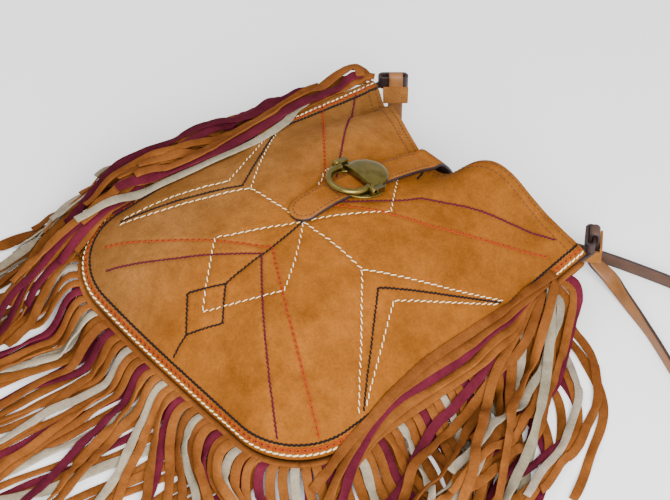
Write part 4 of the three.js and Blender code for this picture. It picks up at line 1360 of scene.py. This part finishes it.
ring_lift = math.asin((HINGE_Y - RING_CENTRE_Y) / RING_RADIUS)
ring_angle = np.linspace(math.pi - ring_lift, 2 * math.pi + ring_lift, RING_STEPS)
hoop_y = RING_CENTRE_Y + RING_RADIUS * np.sin(ring_angle)
hoop = np.stack([RING_RADIUS * np.cos(ring_angle), hoop_y, np.full(RING_STEPS, HINGE_Z)], -1)
ring_heap = Heap()
points, faces = wire(hoop, RING_WIRE, 20)
ring_heap.add(set_on_tab(points), faces)
pin_inner = math.sqrt(RING_RADIUS**2 - (HINGE_Y - RING_CENTRE_Y) ** 2)
for sign in (-1, 1):
    pin_x = sign * np.linspace(pin_inner, LUG_OUTER, PIN_STEPS)
    pin = np.stack([pin_x, np.full(PIN_STEPS, HINGE_Y), np.full(PIN_STEPS, HINGE_Z)], -1)
    points, faces = wire(pin, PIN_RADIUS, 16)
    ring_heap.add(set_on_tab(points), faces)
ring = ring_heap.make("ring", [BRASS], "ring")
fix_faces(ring)
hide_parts("clasp_ring")

# The cap's profile from its middle below, round the rim and up to its top: radius and height
CAP_PROFILE = [
    (0, 0.2),
    (13.5, 0.2),
    (14.2, 0.5),
    (14.4, 1.1),
    (14.4, 2.0),
    (14.15, 2.7),
    (13.5, 3.4),
    (12.4, 4.05),
    (11.0, 4.6),
    (9.0, 5.05),
    (6.5, 5.45),
    (3.5, 5.7),
    (0, 5.8),
]

# The plate's section: share of its breadth from the eye, and share of its thickness
PLATE_SECTION = [
    (0.0, 0.2),
    (0.02, 0.8),
    (0.06, 1.0),
    (0.94, 1.0),
    (0.98, 0.8),
    (1.0, 0.2),
    (0.98, 0.0),
    (0.02, 0.0),
]


def clasp_cap():
    """The domed cap, round at its back and straight along its sides, closed by its flat front."""
    sides = [(CAP_FRONT_Y, 0.975), (CAP_FRONT_Y + 0.15, 0.992), (CAP_FRONT_Y + CAP_EDGE, 1.0), (0.5, 1.0)]
    columns = [(0.0, y, shrink) for y, shrink in sides]
    columns += [(angle, CAP_Y, 1.0) for angle in np.linspace(0, math.pi, 64)]
    columns += [(math.pi, y, shrink) for y, shrink in reversed(sides)]
    grid = []
    for angle, y, shrink in columns:
        c = shrink * math.cos(angle)
        s = shrink * math.sin(angle)
        grid.append([(r * c, y + r * s, BASE_Z + (z - BASE_Z) * shrink) for r, z in CAP_PROFILE])
    grid = np.array(grid)
    number = np.arange(grid.shape[0] * grid.shape[1]).reshape(grid.shape[:2])
    faces = grid_faces(number)
    faces.append(list(number[0])[::-1] + list(number[-1])[1:-1])
    return grid.reshape(-1, 3), faces


def clasp_plate():
    """A flat band round the ring's eye, open towards the tab's tip."""
    share = np.linspace(0, 1, PLATE_STEPS)
    outer_from = math.acos(EYE_SLOT_HALF / PLATE_HALF_WIDTH)
    inner_from = math.acos(EYE_SLOT_HALF / EYE_RADIUS)
    outer = -outer_from + (math.pi + 2 * outer_from) * share
    inner = -inner_from + (math.pi + 2 * inner_from) * share
    out_x = PLATE_HALF_WIDTH * np.cos(outer)
    out_y = PLATE_Y + PLATE_HALF_LENGTH * np.sin(outer)
    in_x = EYE_RADIUS * np.cos(inner)
    in_y = RING_CENTRE_Y + EYE_RADIUS * np.sin(inner)
    rings = []
    for wide, high in PLATE_SECTION:
        x = in_x + (out_x - in_x) * wide
        y = in_y + (out_y - in_y) * wide
        rings.append(np.stack([x, y, np.full(PLATE_STEPS, PLATE_THICK * high)], -1))
    return np.stack(rings, 1).reshape(-1, 3), tube_faces(PLATE_STEPS, len(PLATE_SECTION))


def clasp_lug(sign):
    """A low post along the cap's side that ends in the barrel of the hinge."""
    meet = math.asin((LUG_TOP - HINGE_Z) / LUG_HALF)
    outline = [(LUG_BACK_Y, BASE_Z), (LUG_BACK_Y, LUG_TOP - LUG_ROUND), (LUG_BACK_Y - LUG_ROUND, LUG_TOP)]
    for angle in np.linspace(meet, math.pi, 18):
        outline.append((HINGE_Y + LUG_HALF * math.cos(angle), HINGE_Z + LUG_HALF * math.sin(angle)))
    outline.append((HINGE_Y - LUG_HALF, BASE_Z))
    mid_y, mid_z = np.mean(outline, axis=0)
    rings = []
    for x, shrink in ((LUG_INNER, 0.9), (LUG_INNER + 0.3, 1.0), (LUG_OUTER - 0.3, 1.0), (LUG_OUTER, 0.9)):
        for y, z in outline:
            rings.append((sign * x, mid_y + (y - mid_y) * shrink, mid_z + (z - mid_z) * shrink))
    return rings, tube_faces(4, len(outline))


base_heap = Heap()
for points, faces in (clasp_cap(), clasp_plate(), clasp_lug(-1), clasp_lug(1)):
    base_heap.add(set_on_tab(points), faces)
base = base_heap.make("clasp", [BRASS])
fix_faces(base)
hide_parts("clasp_base")

# The shoulder strap
STRAP_HALF = 5.0
STRAP_THICK = 2.2
STRAP_ON_EDGE = STRAP_HALF + 0.15
STRAP_TAIL = 32.0
STRAP_ASIDE = 1.8
STRAP_STEPS = 8
KEEPER_DROP = 9.5
ANCHOR_TURN = math.radians(48.7)
ANCHOR_X = 96.0
ANCHOR_Y = 155.2
ANCHOR_LEFT_Z = 53.0
ANCHOR_RIGHT_Z = 34.0

# The doubled end, from the run up through the anchor and over its wall: out and up
STRAP_END = [
    (0.3, -16),
    (0.35, -KEEPER_DROP),
    (0, -3),
    (0, 4.6),
    (0.75, 6.4),
    (2.55, 7.15),
    (4.35, 6.4),
    (5.1, 4.6),
    (5.1, -5),
    (4.5, -KEEPER_DROP),
]

# The free run: down from the left keeper, on its edge on the floor, and up to the right keeper
STRAP_DOWN = [
    (-94.4, 156.2, 22, 49, 0),
    (-91.5, 154.6, 13.5, 54, 14),
    (-83.5, 152.2, 7.8, 68, 45),
    (-68, 150.4, 5.3, 85, 80),
]
STRAP_FLOOR = [
    (-45, 150), (-15, 150), (20, 151.5), (60, 160), (105, 178), (160, 195), (225, 205), (295, 204),
    (362, 193), (418, 170), (443, 136), (428, 102), (385, 84), (325, 86), (262, 103), (205, 126),
]
STRAP_UP = [
    (160, 145, STRAP_ON_EDGE, 100, 88),
    (130, 155, 6, 110, 62),
    (112, 159.5, 9, 120, 28),
]

# Rows of x, y, z, turn and lean
STRAP_RUN = STRAP_DOWN + [(x, y, STRAP_ON_EDGE, 90, 90) for x, y in STRAP_FLOOR] + STRAP_UP

# The strap's section, with the material of the side after each point: grain, cut edge or underside
STRAP_PROFILE = np.array(
    [
        (-1, -0.2),
        (-1, 0.2),
        (-0.94, 0.46),
        (-0.5, 0.5),
        (0.5, 0.5),
        (0.94, 0.46),
        (1, 0.2),
        (1, -0.2),
        (0.94, -0.46),
        (-0.94, -0.46),
    ]
)
STRAP_SIDES = [1, 1, 0, 0, 0, 1, 1, 1, 2, 1]


def anchor_frame(sign, points):
    """Points of an anchor's own frame, set at the left or right mouth corner."""
    points = np.asarray(points, float)
    c = math.cos(ANCHOR_TURN)
    s = math.sin(ANCHOR_TURN)
    x = points[:, 0] * c - points[:, 1] * s - ANCHOR_X
    y = points[:, 0] * s + points[:, 1] * c + ANCHOR_Y
    return np.stack([-sign * x, y, points[:, 2]], -1)


def strap_end(sign, z, tail):
    rows = STRAP_END + [(4.1, -tail)]
    places = anchor_frame(sign, [(STRAP_ASIDE, sign * out, z + up) for out, up in rows])
    side = anchor_frame(sign, [(1, 0, 0)])[0] - anchor_frame(sign, [(0, 0, 0)])[0]
    return places, np.tile(side, (len(places), 1))


def between(u, first, last, a, b):
    """The point at u on the straight way from a at first to b at last."""
    return (last - u) / (last - first) * a + (u - first) / (last - first) * b


def centripetal(points, per):
    """A curve through points whose knots are spaced by the root of their distances."""
    ends = np.concatenate([[2 * points[0] - points[1]], points, [2 * points[-1] - points[-2]]])
    curve = []
    for k in range(len(points) - 1):
        p = ends[k : k + 4]
        apart = np.maximum(np.linalg.norm(np.diff(p, axis=0), axis=1), 1e-6)
        t = np.concatenate([[0], np.cumsum(apart**0.5)])
        for u in np.linspace(t[1], t[2], per, endpoint=False):
            a1 = between(u, t[0], t[1], p[0], p[1])
            a2 = between(u, t[1], t[2], p[1], p[2])
            a3 = between(u, t[2], t[3], p[2], p[3])
            b1 = between(u, t[0], t[2], a1, a2)
            b2 = between(u, t[1], t[3], a2, a3)
            curve.append(between(u, t[1], t[2], b1, b2))
    curve.append(points[-1])
    return np.array(curve)


left_end, left_side = strap_end(-1, ANCHOR_LEFT_Z, STRAP_TAIL)
right_end, right_side = strap_end(1, ANCHOR_RIGHT_Z, STRAP_TAIL / 2)
run_places = np.array([row[:3] for row in STRAP_RUN], float)
turns = np.radians([row[3] for row in STRAP_RUN])
leans = np.radians([row[4] for row in STRAP_RUN])
run_sides = np.stack([np.cos(leans) * np.cos(turns), np.cos(leans) * np.sin(turns), np.sin(leans)], -1)
strap_sides = np.concatenate([left_side, run_sides, right_side])
strap_spot = centripetal(np.concatenate([left_end[::-1], run_places, right_end]), STRAP_STEPS)
strap_side = read_at(np.arange(len(strap_spot)), np.arange(len(strap_sides)) * STRAP_STEPS, strap_sides)
strap_ahead = unit(np.gradient(strap_spot, axis=0))
strap_side = unit(strap_side - strap_ahead * (strap_side * strap_ahead).sum(1)[:, None])
strap_up = np.cross(strap_side, strap_ahead)
strap_half = np.full(len(strap_spot), STRAP_HALF)
strap_rings = band_rings(strap_spot, strap_side, strap_up, strap_half, STRAP_THICK, STRAP_PROFILE)
strap_faces = tube_faces(len(strap_spot), len(STRAP_PROFILE))
strap_heap = Heap()
strap_heap.add(strap_rings.reshape(-1, 3), strap_faces, band_slots(STRAP_SIDES, strap_faces))
strap = strap_heap.make("strap", [BROWN, DARK_EDGE, UNDERSIDE])
fix_faces(strap)
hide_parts("shoulder_strap")

# Anchors and keepers are the solids themselves, with softened edges
for name in ("anchor_left", "anchor_right", "keeper_left", "keeper_right"):
    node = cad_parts[name]
    node.data.materials.clear()
    node.data.materials.append(DARK_EDGE if name.startswith("anchor") else KEEPER)
    bevel = node.modifiers.new("soft_edges", "BEVEL")
    bevel.width = 0.0005
    bevel.segments = 3
    bevel.limit_method = "ANGLE"

# Floor and light, in metres
FLOOR_HALF = 6.0
FLOOR_Z = -0.0002
WORLD_STRENGTH = 0.925


def make_floor():
    mesh = bpy.data.meshes.new("floor")
    corners = [(x * FLOOR_HALF, y * FLOOR_HALF, FLOOR_Z) for x, y in ((-1, -1), (1, -1), (1, 1), (-1, 1))]
    mesh.from_pydata(corners, [], [(0, 1, 2, 3)])
    look = Look("floor", 0.9)
    look.feed("Base Color", look.mix(look.noise(3, 2, 0.5), (0.97, 0.97, 0.97, 1), (0.98, 0.98, 0.98, 1)))
    mesh.materials.append(look.material)
    floor = bpy.data.objects.new("floor", mesh)
    scene.collection.objects.link(floor)


def make_world():
    world = bpy.data.worlds.new("studio")
    world.use_nodes = True
    background = world.node_tree.nodes["Background"]
    background.inputs["Color"].default_value = (1.0, 1.0, 1.0, 1)
    background.inputs["Strength"].default_value = WORLD_STRENGTH
    scene.world = world


def area_light(name, place, aim, size, power):
    data = bpy.data.lights.new(name, "AREA")
    data.shape = "RECTANGLE"
    data.size = size[0]
    data.size_y = size[1]
    data.energy = power
    light = bpy.data.objects.new(name, data)
    light.location = place
    light.rotation_mode = "QUATERNION"
    light.rotation_quaternion = (Vector(aim) - Vector(place)).to_track_quat("-Z", "Y")
    scene.collection.objects.link(light)


make_floor()
make_world()
area_light("key", place=(1.15, -0.6, 1.0), aim=(0, 0, 0.04), size=(1.1, 1.1), power=67)
area_light("fill", place=(-0.7, -0.3, 1.4), aim=(0, 0, 0.03), size=(1.2, 1.0), power=7.5)
